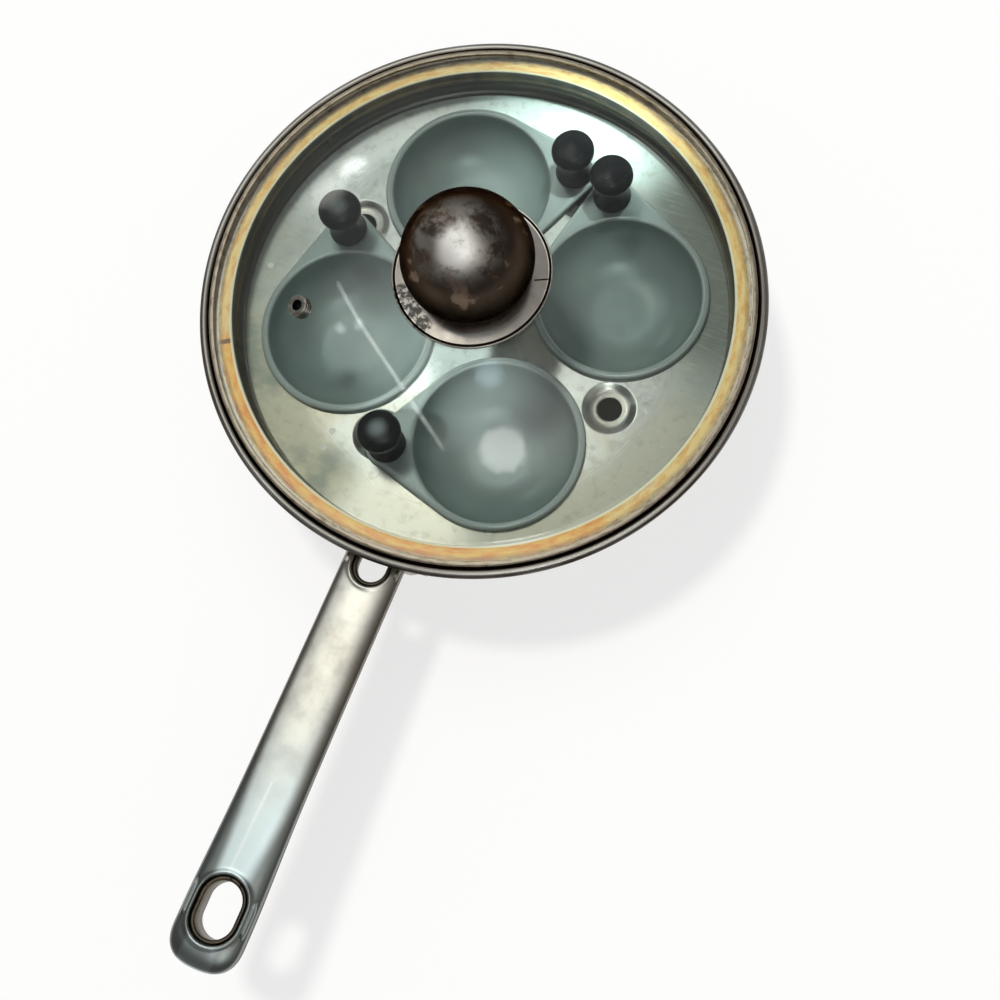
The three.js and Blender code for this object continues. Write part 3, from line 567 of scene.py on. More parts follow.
def tray_steel():
    paint = steel("tray_steel", (196, 201, 196), 0.2)
    cloudy = paint.noise(30, 4, 0.6)
    dried = paint.spots(55, 0.06, 0.05) * paint.noise(9, 1).step(0.44, 0.54)
    for spot in water_spots:
        dried = dried | paint.near_point(spot, 0.9 * mm, 0.6 * mm)
    bend_radius = tray_inside - tray_corner
    wall = paint.radius.step(bend_radius - 0.5 * mm, bend_radius)
    outer = paint.radius.step(tray_wall_radius - 27 * mm, tray_wall_radius - 14 * mm)
    beige = cloudy.step(0.5, 0.72) * paint.y.step(30 * mm, -50 * mm)
    stains_and_painted_light = cloudy.step(0.35, 0.7).mix((194, 197, 191), (208, 210, 202))
    stains_and_painted_light = (beige * 0.5).mix(stains_and_painted_light, (190, 172, 142))
    mottled = cloudy.step(0.42, 0.6).mix((146, 153, 138), (196, 192, 166))
    dull_with_painted_light = cloudy.step(0.3, 0.7).mix((168, 176, 168), (192, 196, 184))
    # Painted reflections and painted shade by angle round the middle of the tray
    for zone, tone in tray_painted_light_zones:
        dull_with_painted_light = paint.angle.between(*zone).mix(dull_with_painted_light, tone or mottled)
    streaky = paint.noise(1, 4, 0.7, paint.scaled(70, 900, 1)).step(0.5, 0.66)
    dull_with_painted_light = (streaky * 0.1).mix(dull_with_painted_light, (240, 246, 240))
    outer = outer * paint.angle.between(*tray_painted_pale_zone).step(0, 1, 1, 0.5)
    stains_and_painted_light = outer.mix(stains_and_painted_light, dull_with_painted_light)
    # Painted light: a pale patch between the plate and the cups at the left and the front
    middle = paint.near_line(*tray_painted_bright_middle, 4 * mm, 7 * mm)
    stains_and_painted_light = middle.mix(stains_and_painted_light, (236, 248, 243))
    flecked = paint.noise(210, 4, 0.7).step(0.5, 0.68, 0, 0.34)
    stains_and_painted_light = flecked.mix(stains_and_painted_light, (150, 150, 132))
    stains_and_painted_light = (dried * 0.7).mix(stains_and_painted_light, (236, 238, 230))
    # Painted shade, partly soil, darkens the tray's corner and wall under the lid's band
    wall_shade_and_soil = cloudy.step(0.35, 0.65).mix((52, 56, 42), (78, 74, 50))
    colour = (wall * 0.93).mix(stains_and_painted_light, wall_shade_and_soil)
    under = paint.z.step(tray_floor - tray_sheet / 2, tray_floor - tray_sheet)
    colour = (under * 0.3).mix(colour, (150, 140, 118))
    paint.set("Metallic", (dried * 0.7 | outer | wall | middle).step(0, 1, 0.95, 0.2))
    rough = cloudy.step(0.3, 0.7, 0.17, 0.22) + outer * 0.04 + dried * 0.2
    uneven = paint.noise(14, 2, 0.4) * 8 + paint.noise(2600, 3, 0.6) * 0.12
    return paint.finished(colour, rough, uneven, 0.1 * mm, 0.35)


def band_steel():
    """Baked golden and orange on its flange, with burnt edges, a painted highlight along the bend into
    the skirt, and painted shade, partly soil, on its skirt
    """
    paint = steel("band_steel", (208, 206, 198), 0.28)
    around = paint.noise(1, 3, 0.6, paint.ringed(5, 260))
    patchy = paint.noise(1, 4, 0.65, paint.ringed(14, 500))
    specks = paint.noise(1, 3, 0.6, paint.ringed(24, 900))
    gold = patchy.step(0.35, 0.68).mix((255, 208, 106), (246, 156, 62))
    khaki = patchy.step(0.42, 0.66).mix((255, 226, 154), (244, 190, 108))
    khaki = around.step(0.55, 0.75).mix(khaki, (240, 208, 162))
    baked = paint.angle.between(-149.5, -42, 4).mix(khaki, gold)
    seam = paint.angle.between(-150.6, -149.8, 0.3)
    outer = paint.radius.step(band_hook_radius - 3.2 * mm, band_hook_radius - 1.3 * mm)
    inner = paint.radius.step(band_skirt_radius + 1.8 * mm, band_skirt_radius + 0.5 * mm)
    burnt = outer * specks.step(0.4, 0.7, 0.5, 0.9) | inner * specks.step(0.58, 0.7) | seam
    baked = (burnt * 0.85).mix(baked, (96, 62, 34))
    # Painted highlight along the bend from the flange into the skirt
    pale = paint.radius.between(band_skirt_radius - 0.2 * mm, band_skirt_radius + 1 * mm, 0.3 * mm)
    baked = (pale * 0.9).mix(baked, (255, 250, 222))
    # Painted shade, partly soil, on the skirt that reaches down into the pan
    skirt = around.step(0.4, 0.65).mix((38, 42, 32), (98, 84, 54))
    low = paint.z.step(band_flange_top - 0.5 * mm, band_flange_top - 1.2 * mm)
    bare = specks.step(0.45, 0.7).mix((196, 184, 164), (150, 134, 112))
    flange = paint.radius.between(
        band_skirt_radius + 0.2 * mm, band_hook_radius - 1.2 * mm, 0.3 * mm,
    )
    colour = low.mix(flange.mix(bare, baked), skirt)
    covered = flange | low
    paint.set("Metallic", covered.step(0, 1, 1, 0.12))
    rough = covered.step(0, 1, 0.36, 0.46)
    return paint.finished(colour, rough, patchy + burnt * 0.3, 0.04 * mm, 0.4)


# Marks on the handle, in plan: a painted highlight streak, and along Y where a painted cool
# reflection sets in and where the painted shade, partly grease, of its right and left side grows wide
handle_painted_highlight = ((-0.8 * mm, -190 * mm), (-1.8 * mm, -226 * mm))
handle_cool_reflection = (-150 * mm, -220 * mm)
right_shade_and_grease = (-190 * mm, -235 * mm)
left_shade_and_grease = (-160 * mm, -235 * mm)


def handle_steel():
    """Brushed along its length, with a painted cool reflection towards the end, a painted
    highlight streak, and painted shade, partly grease, at the root, the sides, the hanging hole
    and the tip"""
    paint = steel("handle_steel", (214, 214, 208), 0.24)
    drawn = paint.noise(1, 3, 0.6, paint.scaled(2600, 60, 2600))
    cloudy = paint.noise(34, 4, 0.6)
    worn = paint.noise(120, 4, 0.65)
    colour = worn.step(0.4, 0.7).mix((228, 225, 214), (208, 204, 194))
    colour = (cloudy.step(0.5, 0.72) * 0.4).mix(colour, (172, 160, 144))
    # Painted reflection: cooler and lighter towards the end
    colour = paint.y.step(*handle_cool_reflection).mix(colour, (226, 240, 240))
    # Painted highlight: a thin bright streak down the crown
    highlight_streak = paint.near_line(*handle_painted_highlight, 0.05 * mm, 0.9 * mm)
    colour = (highlight_streak * 0.5).mix(colour, (252, 255, 255))
    right = paint.x + paint.y.step(*right_shade_and_grease, 0, 4 * mm)
    left = paint.x - paint.y.step(*left_shade_and_grease, 0, 3.5 * mm)
    sides = right.step(6 * mm, 11 * mm) * 0.85 | left.step(-7.5 * mm, -11 * mm) * 0.85
    root = paint.y.step(-handle_root_radius - 11 * mm, -handle_root_radius - 1 * mm)
    hole_start, hole_end = [
        -handle_root_radius - (hanging_hole_centre + half) * math.cos(handle_slope)
        for half in (-hanging_hole_half, hanging_hole_half)
    ]
    brink = paint.near_line(
        (0, hole_start), (0, hole_end), hanging_hole_radius + 0.3 * mm, 0.4 * mm,
    )
    tip = paint.y.step(hole_end - 5 * mm, hole_end - 14 * mm)
    # Painted shade, partly grease, at the root under the rim, along the sides, round the hanging hole
    # and at the tip
    shade_and_grease = root | brink | sides | tip * 0.6
    colour = (shade_and_grease * 0.85).mix(colour, (74, 66, 54))
    rough = worn.step(0.3, 0.7, 0.285, 0.33)
    return paint.finished(colour, rough, drawn * 0.3 + cloudy * 3, 0.06 * mm, 0.3)


def tarnished_steel():
    """The handle's underside and its openings, dark with burnt-on grease, and with painted shade on the
    openings' inner walls
    """
    paint = steel("tarnished_steel", (70, 62, 50), 0.36)
    cloudy = paint.noise(60, 4, 0.65)
    fine = paint.noise(400, 3, 0.6)
    colour = cloudy.step(0.35, 0.65).mix((84, 78, 68), (120, 110, 94))
    colour = fine.step(0.55, 0.75).mix(colour, (44, 38, 31))
    return paint.finished(colour, cloudy.step(0.3, 0.7, 0.29, 0.48), fine, 0.05 * mm, 0.4)


# Marks on the lid's plate, in plan
plate_burn = ((-21 * mm, -16 * mm), (-9 * mm, -24.5 * mm))
plate_scratch = ((22.4 * mm, 4.4 * mm), (26.7 * mm, 6.7 * mm))


def plate_steel():
    paint = steel("plate_steel", (206, 194, 188), 0.14)
    cloudy = paint.noise(70, 4, 0.6)
    fine = paint.noise(1, 3, 0.6, paint.ringed(0.6, 1800))
    patch = paint.near_line(*plate_burn, 2.6 * mm, 1.6 * mm) * paint.noise(420, 4, 0.7).step(0.4, 0.54)
    scratch = paint.near_line(*plate_scratch, 0.2 * mm, 0.2 * mm)
    colour = cloudy.step(0.4, 0.7).mix((200, 193, 184), (180, 172, 162))
    colour = (patch * 0.9 | scratch).mix(colour, (48, 50, 48))
    rough = cloudy.step(0.3, 0.7, 0.14, 0.24)
    return paint.finished(colour, rough, fine + cloudy * 4, 0.03 * mm, 0.35)


def eyelet_steel():
    """Painted shade, nearly black, inside its bore"""
    paint = steel("eyelet_steel", (176, 173, 166), 0.3)
    cloudy = paint.noise(300, 4, 0.6)
    place = vent_place()
    axis = place.to_3x3() @ Vector((0, 0, 1))
    bore = paint.near_axis(place.translation, axis, vent_bore_radius + 0.25 * mm, 0.3 * mm)
    colour = cloudy.step(0.4, 0.7).mix((186, 182, 174), (126, 118, 106))
    # Painted shade inside the bore
    colour = bore.mix(colour, (24, 22, 20))
    return paint.finished(colour, cloudy.step(0.3, 0.7, 0.24, 0.4), cloudy, 0.05 * mm, 0.3)


def small_finish(name, tones, clouds, metallic, roughness, rough, grain, depth, strength, low=0.35):
    """A finish in two tones: scale of the clouds, roughness at the start, then from and to how
    rough, and scale, depth in millimetres and strength of the grain"""
    paint = Paint(name, tones[0], roughness, metallic)
    fine = paint.noise(grain, 3, 0.6)
    colour = paint.noise(clouds, 3, 0.6).step(low, 0.7).mix(*tones)
    return paint.finished(colour, fine.step(0.3, 0.7, *rough), fine, depth * mm, strength)


def non_stick():
    """A painted highlight on the lip and painted shade down in the bowl"""
    paint = Paint("non_stick", (120, 134, 131), 0.3, 0.35)
    cloudy = paint.noise(40, 2, 0.5)
    colour = cloudy.step(0.35, 0.7).mix((136, 151, 147), (148, 162, 158))
    colour = (paint.spots(420, 0.1, 0.06) * 0.18).mix(colour, (160, 172, 168))
    # Painted shade down in the bowl
    bowl = paint.z.step(cup_top - 1.2 * mm, cup_top - 2.4 * mm)
    colour = (bowl * 0.25).mix(colour, (116, 131, 127))
    # Painted highlight along the rolled lip
    lip = paint.z.between(cup_top - 0.7 * mm, cup_top - 0.15 * mm, 0.2 * mm)
    colour = (lip * 0.8).mix(colour, (186, 198, 193))
    rough = cloudy.step(0.3, 0.7, 0.29, 0.32)
    return paint.finished(colour, rough, paint.noise(1500, 3, 0.7), 0.05 * mm, 0.2)


def knob_plastic():
    """Black, with a painted highlight in the middle of the heads of the left and the front knob"""
    paint = Paint("knob_plastic", (34, 38, 40), 0.42)
    paint.set("Specular IOR Level", 0.3)
    cloudy = paint.noise(160, 3, 0.6)
    # Painted highlight: pale middles on the heads of the left and the front knob
    left, front = [
        paint.near_point((sum(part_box(node), Vector()) / 2)[:2], 0.5 * mm, 4.5 * mm)
        for node in ("cup_left_knob", "cup_front_knob")
    ]
    colour = cloudy.step(0.4, 0.7).mix((12, 14, 15), (24, 27, 28))
    colour = (left | front).mix(colour, (88, 94, 94))
    rough = cloudy.step(0.3, 0.7, 0.2, 0.26)
    return paint.finished(colour, rough, paint.noise(1300, 3, 0.6), 0.06 * mm, 0.35)


def ball_finish():
    """Painted shade below and round the sides, and a painted highlight, bright and mottled, over the
    crown
    """
    paint = Paint("ball_finish", (68, 58, 49), 0.3, 1.0)
    paint.set("Specular Tint", (0.25, 0.22, 0.2, 1))
    mottle = paint.noise(130, 5, 0.7, distortion=0.2)
    broad = paint.noise(48, 3, 0.6)
    centre = ball_high.z - ball_radius
    wavy = paint.z + (broad - 0.5) * (9 * mm)
    # The crown carries a painted highlight in light mottled tones, moved towards -Y
    crown = wavy.step(centre + 0.56 * ball_radius, centre + 0.84 * ball_radius)
    crown = crown * paint.near_point((0, -4 * mm), 10 * mm, 9 * mm)
    worn = mottle.step(0.4, 0.62).mix((190, 182, 172), (96, 84, 74))
    worn = (broad.step(0.52, 0.66) * 0.7).mix(worn, (122, 98, 82))
    # A white painted highlight at the core of the crown
    core = paint.near_point((2 * mm, -7 * mm), 3 * mm, 8 * mm) * mottle.step(0.8, 0.5)
    worn = core.mix(worn, (250, 248, 242))
    # Painted shade below and round the sides, with lighter painted reflections in it
    dark = (broad + mottle * 0.4).step(0.78, 0.84).mix((68, 58, 49), (122, 106, 90))
    paint.set("Metallic", core.step(0, 1, 1, 0.45))
    uneven = mottle * 1.4 + paint.noise(420, 3, 0.6) * 0.25
    return paint.finished(
        crown.mix(dark, worn), mottle.step(0.3, 0.7, 0.3, 0.46), uneven, 0.3 * mm, 0.3,
    )


# Marks on the glass, in plan: a long bent scratch with a shorter one across it, and a scuff
# towards the back left
lid_scratches = [
    ((-46 * mm, -18 * mm), (-31 * mm, -30.3 * mm)),
    ((-31 * mm, -30.3 * mm), (-0.5 * mm, -52 * mm)),
    ((-0.5 * mm, -52 * mm), (12.5 * mm, -61 * mm)),
    ((-9 * mm, -52.2 * mm), (1.5 * mm, -34.2 * mm)),
]
lid_scuff = (-62 * mm, 26 * mm)
glass_tone = (250, 253, 252)


def clear_glass():
    """Clear, and plain transparent to shadow rays, so that light falls through it"""
    paint = Paint("clear_glass", glass_tone, 0.0, transmission=1.0)
    paint.set("IOR", 1.5)
    breaks = paint.noise(420, 3, 0.6)
    first, *others = [paint.near_line(*ends, 0.1 * mm, 1.1 * mm) for ends in lid_scratches]
    for other in others:
        first = first | other
    scratched = first * breaks.step(0.3, 0.6, 0.35, 1)
    scuff = paint.near_point(lid_scuff, 2 * mm, 8 * mm) * breaks.step(0.5, 0.62)
    worn = scratched * 0.13 | scuff * 0.35
    paint.set("Base Color", worn.mix(glass_tone, (226, 238, 236)))
    paint.set("Transmission Weight", (worn - 1) * -1)
    through = paint.add("ShaderNodeBsdfTransparent", {0: srgb(*glass_tone)})
    shadow = paint.light_path("Is Shadow Ray")
    glass = paint.add("ShaderNodeMixShader", {0: shadow, 1: paint.shader, 2: through})
    paint.feed(paint.output, glass)
    return paint.owner


# Pan

def pan_outline():
    step_outer = step_radius + pan_sheet
    shelf_under = shelf_height - pan_sheet
    curl_centre = rim_radius - curl_radius
    curl_height = pan_height - curl_radius
    foot_centre = wall_foot_radius - wall_corner
    foot_height = base_height + wall_corner
    return softened([
        (0, base_height, 0),
        *arc(foot_centre, foot_height, wall_corner, -90, 0, 14),
        (wall_top_radius, shelf_under, shelf_bend),
        (step_outer, shelf_under, shelf_bend),
        *arc(curl_centre, curl_height, curl_radius - pan_sheet, 180, -curl_tuck_angle, 12),
        *arc(curl_centre, curl_height, curl_radius, -curl_tuck_angle, 180, 18),
        (step_radius, shelf_height, shelf_bend),
        (wall_top_radius - pan_sheet, shelf_height, shelf_bend),
        *arc(foot_centre, foot_height, wall_corner - pan_sheet, 0, -90, 14),
        (0, base_height + pan_sheet, 0),
    ])


def cap_outline():
    top = base_height - seat_gap
    centre = cap_radius - cap_corner
    bottom = [(0, 0, 0), (12 * mm, 0, 0)]
    for ring in range(1, 6):
        middle = ring * cap_groove_step
        bottom += [
            (middle - 0.8 * mm, 0, 0.3 * mm),
            (middle, cap_groove, 0.5 * mm),
            (middle + 0.8 * mm, 0, 0.3 * mm),
        ]
    return softened([
        *bottom,
        *arc(centre, cap_corner, cap_corner, -90, 0, 10),
        (cap_radius, top, 0.3 * mm),
        (cap_radius - cap_sheet, top, 0.3 * mm),
        *arc(centre, cap_corner, cap_corner - cap_sheet, 0, -90, 10),
        (0, cap_sheet, 0),
    ])


new_piece("pan_body", turned(pan_outline()), "pan", "pan_shell", "satin_steel", pan_steel())
new_piece("pan_base_cap", turned(cap_outline()), "pan", "base_cap", "satin_steel", base_steel())


# Handle

def handle_share_at(share, column):
    """A column of the shape shares, smoothly read between its rows"""
    rows = handle_shape_shares
    last = len(rows) - 1
    i = next((i for i in range(last) if share <= rows[i + 1][0]), last - 1)
    before, start, end, after = [rows[min(max(k, 0), last)] for k in range(i - 1, i + 3)]
    width = end[0] - start[0]
    local = min(max((share - start[0]) / width, 0), 1)
    slope_in = (end[column] - before[column]) / max(end[0] - before[0], width) * width
    slope_out = (after[column] - start[column]) / max(after[0] - start[0], width) * width
    square = local * local
    cube = square * local
    return (
        start[column]
        + (end[column] - start[column]) * (3 * square - 2 * cube)
        + slope_in * (cube - 2 * square + local)
        + slope_out * (cube - square)
    )


def tip_shrink(along):
    past = (along - (handle_length - handle_tip_length)) / handle_tip_length
    if past <= 0:
        return 1
    return max(1 - min(past, 1) ** handle_roundness, 0) ** (1 / handle_roundness)


def handle_width_at(along):
    return handle_half_width * handle_share_at(along / handle_length, 1) * tip_shrink(along)


def handle_depth_at(x, along, side):
    """Height of the upper (side 1) or lower (side -1) shell over the parting plane"""
    width = handle_width_at(along)
    column, depth = (2, handle_crown) if side > 0 else (3, handle_belly)
    reach = depth * handle_share_at(along / handle_length, column) * tip_shrink(along)
    across = min(abs(x) / max(width, 1e-9), 1)
    return side * reach * (1 - across ** handle_roundness) ** (1 / handle_roundness)


handle_place = Matrix.Translation((0, -handle_root_radius, handle_root_height))
handle_place = handle_place @ Matrix.Rotation(-handle_slope, 4, "X")


def laid(x, along, height):
    """A point of the handle in place, its root fitted to the round wall"""
    fit = math.sqrt(handle_root_radius ** 2 - x * x) - handle_root_radius
    fade = max(1 - along / root_fade, 0)
    return handle_place @ Vector((x, -(along + fit * fade), height))


def section_shares():
    """Shares of the half width across the section, from +1 to -1, and where the patches round
    the openings begin and end among them"""
    edge_steps = 7
    middle_steps = 18
    limit = math.acos(patch_share ** (handle_roundness / 2))
    side = []
    for i in range(edge_steps):
        angle = limit * (i / edge_steps) ** (handle_roundness / 2)
        side.append(math.cos(angle) ** (2 / handle_roundness))
    middle = [patch_share * (1 - 2 * i / middle_steps) for i in range(middle_steps + 1)]
    columns = side + middle + [-share for share in reversed(side)]
    return columns, edge_steps, edge_steps + middle_steps


def handle_stations():
    """Places along the handle, and where the patches round the two openings begin and end"""
    spans = [
        (0, root_patch_end, 12),
        (root_patch_end, hole_patch_start, 40),
        (hole_patch_start, hole_patch_end, 20),
    ]
    stations = []
    marks = []
    for start, end, steps in spans:
        marks.append(len(stations))
        stations += [start + (end - start) * i / steps for i in range(steps)]
    marks.append(len(stations))
    tip_steps = 12
    for i in range(tip_steps):
        left = (1 - i / tip_steps) ** 2.2
        stations.append(handle_length - (handle_length - hole_patch_end) * left)
    return stations, marks


def handle_sheet_shape(side, opening_profile):
    """The upper or lower shell with its openings, each edged by rings that follow the profile"""
    columns, first, last = section_shares()
    stations, marks = handle_stations()
    vertices = []
    faces = []
    half_gap = seat_gap / 2

    def add(x, along, height):
        vertices.append(laid(x, along, height))
        return len(vertices) - 1

    def add_on_sheet(x, along):
        return add(x, along, side * max(abs(handle_depth_at(x, along, side)), half_gap))

    def face(*corners):
        corners = tuple(dict.fromkeys(corners))
        if len(corners) > 2:
            faces.append(corners if side > 0 else corners[::-1])

    places = [[(handle_width_at(along) * share, along) for share in columns] for along in stations]
    grid = [[add_on_sheet(*place) for place in row] for row in places]
    tip = add(0, handle_length, side * half_gap)
    patches = [(marks[0], marks[1]), (marks[2], marks[3])]
    for i in range(len(stations) - 1):
        inside_patch = any(start <= i < end for start, end in patches)
        for j in range(len(columns) - 1):
            if inside_patch and first <= j < last:
                continue
            face(grid[i][j], grid[i][j + 1], grid[i + 1][j + 1], grid[i + 1][j])
    for j in range(len(columns) - 1):
        face(grid[-1][j], grid[-1][j + 1], tip)

    def boundary(start, end, open_at_root):
        loop = [(i, first) for i in range(start, end)]
        loop += [(end, j) for j in range(first, last)]
        loop += [(i, last) for i in range(end, start, -1)]
        if open_at_root:
            return loop + [(start, last)]
        return loop + [(start, j) for j in range(last, first, -1)]

    hole_near = hanging_hole_centre - hanging_hole_half
    hole_far = hanging_hole_centre + hanging_hole_half
    openings = [
        (patches[0], True, -1, root_notch_length - root_notch_radius, root_notch_radius),
        (patches[1], False, hole_near, hole_far, hanging_hole_radius),
    ]
    for (start, end), open_at_root, near, far, radius in openings:
        loop = boundary(start, end, open_at_root)
        rows = [[grid[i][j] for i, j in loop]]
        rays = []
        for i, j in loop:
            spot = Vector(places[i][j])
            core = Vector((0, min(max(spot.y, near), far)))
            rays.append((core, (spot - core).normalized(), (spot - core).length))
        widest = radius + opening_profile[-1][0] * mm
        for share in (0.66, 0.33):
            spots = [core + ray * (widest + (reach - widest) * share) for core, ray, reach in rays]
            rows.append([add_on_sheet(*spot) for spot in spots])
        for distance, face_side, rise in reversed(opening_profile):
            spots = [core + ray * (radius + distance * mm) for core, ray, reach in rays]
            rows.append([
                add(*spot, handle_depth_at(*spot, face_side) + rise * mm) for spot in spots
            ])
        count = len(loop)
        for outside, inside in zip(rows, rows[1:]):
            for k in range(count - 1 if open_at_root else count):
                after = (k + 1) % count
                face(inside[k], inside[after], outside[after], outside[k])
    return vertices, faces


new_piece(
    "handle_top_shell", handle_sheet_shape(1, upper_profile), "pan", "handle_upper",
    "handle_steel", handle_steel(), handle_sheet, soft_angle,
)
new_piece(
    "handle_bottom_shell", handle_sheet_shape(-1, lower_profile), "pan", "handle_lower",
    "handle_steel", tarnished_steel(), handle_sheet, soft_angle,
)


# Tray

def floor_circle(centre, radius, count):
    """Points of a circle on the tray's floor"""
    return [centre + polar(radius, 2 * math.pi * i / count, tray_floor) for i in range(count)]


def tray_shape():
    outline = softened([
        (tray_flange_radius, tray_flange_top, 0),
        (tray_inside, tray_flange_top, tray_bend),
        *arc(tray_inside - tray_corner, tray_floor + tray_corner, tray_corner, 0, -90, 10),
    ])
    floor_radius = outline[-1][0] - tray_support
    outline.append((floor_radius, tray_floor))
    apart = (on_circle(steam_circle, 45) - on_circle(cup_circle, 0)).length
    dimple = apart - cup_hole_radius - steam_dimple_web
    slope = (dimple - steam_hole_radius) * steam_slope_share
    dimple_outline = softened([
        (steam_hole_radius, -steam_dimple_depth - 0.25 * mm, 0),
        (steam_hole_radius + 0.4 * mm, -steam_dimple_depth, 0.3 * mm),
        (dimple - slope, -steam_dimple_depth, 1.2 * mm),
        (dimple - 0.35 * mm, -0.1 * mm, 0.8 * mm),
        (dimple, 0, 0),
        (dimple + tray_support, 0, 0),
    ])
    cup_edge = [(cup_hole_radius, 0), (cup_hole_radius + tray_support, 0)]
    loops = [floor_circle(Vector(), floor_radius, round_sides)]
    parts = [flipped(turned(outline[::-1]))]
    for number in range(4):
        angle = first_cup_angle + 90 * number
        for ring, centre, sides in (
            (cup_edge, on_circle(cup_circle, angle), cup_edge_sides),
            (dimple_outline, on_circle(steam_circle, angle - 45), steam_sides),
        ):
            loops.append(floor_circle(centre, ring[-1][0], sides))
            place = Matrix.Translation((centre.x, centre.y, tray_floor))
            parts.append(flipped(turned(ring, sides, place=place)))
    flat = [point for loop in loops for point in loop]
    triangles = []
    for a, b, c in tessellate_polygon(loops):
        upward = (flat[b] - flat[a]).cross(flat[c] - flat[a]).z > 0
        triangles.append((a, b, c) if upward else (c, b, a))
    return joined(*parts, (flat, triangles))


def merge_close(piece):
    """Joins vertices that lie on each other, so that parts of a sheet meet without a seam"""
    mesh = bmesh.new()
    mesh.from_mesh(piece.data)
    bmesh.ops.remove_doubles(mesh, verts=mesh.verts, dist=0.002 * mm)
    mesh.to_mesh(piece.data)
    mesh.free()


merge_close(new_piece(
    "tray_sheet", tray_shape(), "tray", "poacher_tray", "satin_steel", tray_steel(), tray_sheet,
))


# Cups

def teardrop(inset):
    """The flange's outline about the cup's axis, with the tab along +X"""
    flange = cup_flange_radius - inset
    end = tab_end_radius - inset
    tangent = math.acos((flange - end) / tab_reach)
    round_steps = 116
    straight_steps = 8
    end_steps = 26
    points = []
    for i in range(round_steps + 1):
        points.append(polar(flange, tangent + (2 * math.pi - 2 * tangent) * i / round_steps).xy)
    middle = Vector((tab_reach, 0))
    tab = [middle + polar(end, -tangent + 2 * tangent * i / end_steps).xy for i in range(end_steps + 1)]
    for stretch, goal in ((tab, tab[0]), ([], points[0])):
        last = points[-1]
        points += [last.lerp(goal, i / straight_steps) for i in range(1, straight_steps)]
        points += stretch
    return points


def cup_shape(place):
    """The side that shows, from the bowl's middle over the lip to the flange's edge"""
    directions = [spot.normalized() for spot in teardrop(0)]
    count = len(directions)
    rows = []

    def row(points, height):
        rows.append([Vector((*point, height)) for point in points])

    def round_points(radius):
        return [ray * radius for ray in directions]

    row(round_points(cup_flat_radius * 0.5), -cup_depth)
    row(round_points(cup_flat_radius * 0.92), -cup_depth)
    steps = 22
    widen = cup_mouth_radius - cup_lip_roll - cup_flat_radius
    for i in range(1, steps):
        angle = (math.pi / 2) * (1 - i / steps)
        height = -cup_depth * math.sin(angle)
        if height < -3 * mm:
            row(round_points(cup_flat_radius + widen * math.cos(angle)), height)
    for out, height in cup_lip_rows:
        row(round_points(cup_mouth_radius + out * mm), height * mm)
    inner = round_points(cup_mouth_radius + 0.5 * mm)
    outer = teardrop(1.6 * mm)
    for share in (0.2, 0.5, 0.8):
        row([a.lerp(b, share) for a, b in zip(inner, outer)], -0.02 * mm)
    for inset, height in cup_flange_rows:
        row(teardrop(inset * mm), height * mm)
    row(teardrop(0), -cup_flange_rise + 0.02 * mm)
    vertices = [place @ Vector((0, 0, -cup_depth))]
    vertices += [place @ spot for points in rows for spot in points]
    faces = []
    for k in range(count):
        after = (k + 1) % count
        faces.append((0, 1 + k, 1 + after))
        for low in range(1, 1 + (len(rows) - 1) * count, count):
            high = low + count
            faces.append((low + k, high + k, high + after, low + after))
    return vertices, faces


cup_material = non_stick()
knob_material = knob_plastic()
for number, name in enumerate(cup_names):
    axis = on_circle(cup_circle, first_cup_angle + 90 * number)
    knob_low, knob_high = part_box(f"cup_{name}_knob")
    knob_axis = (knob_low + knob_high) / 2
    arm = knob_axis - axis
    axis.z = cup_top
    cup_place = Matrix.Translation(axis) @ Matrix.Rotation(math.atan2(arm.y, arm.x), 4, "Z")
    new_piece(
        f"cup_{name}_dish", cup_shape(cup_place), f"cup_{name}", f"cup_{name}_bowl", "non_stick",
        cup_material, cup_sheet, soft_angle,
    )
    head = (knob_high.x - knob_low.x) / 2
    height = knob_high.z - knob_low.z
    corners = [(head * out, knob_low.z + height * up, 0.6 * mm) for up, out in cup_knob_shares]
    outline = [(0, knob_low.z)] + softened(corners, steps=3)
    knob_place = Matrix.Translation((knob_axis.x, knob_axis.y, 0))
    new_piece(
        f"cup_{name}_button", turned(outline, knob_sides, place=knob_place), f"cup_{name}",
        f"cup_{name}_knob", "black_plastic", knob_material,
    )


# Lid

def dome_height(radius, depth=0.0):
    sphere = dome_sphere - depth
    return glass_apex - dome_sphere + math.sqrt(sphere ** 2 - radius ** 2)


def glass_outline():
    steps = 30
    under_drop = dome_sphere - (glass_apex - glass_low.z)
    under_edge = math.sqrt((dome_sphere - glass_thickness) ** 2 - under_drop ** 2)
    under = []
    over = []
    for i in range(steps + 1):
        share = i / steps
        under_radius = glass_hole_radius + (under_edge - glass_hole_radius) * share
        over_radius = dome_radius + (glass_hole_radius - dome_radius) * share
        under.append((under_radius, dome_height(under_radius, glass_thickness), 0))
        over.append((over_radius, dome_height(over_radius), 0))
    under[-1] = (*under[-1][:2], 3 * mm)
    over[0] = (*over[0][:2], 4 * mm)
    edge = [(glass_radius, glass_low.z, 0.9 * mm), (glass_radius, glass_top, 1.6 * mm)]
    return softened([*under, *edge, *over], closed=True)


def vent_place():
    lean = Matrix.Rotation(math.asin(vent_circle / dome_sphere), 4, "Y")
    out = Matrix.Translation((vent_circle, 0, dome_height(vent_circle)))
    return Matrix.Rotation(math.radians(vent_angle), 4, "Z") @ out @ lean


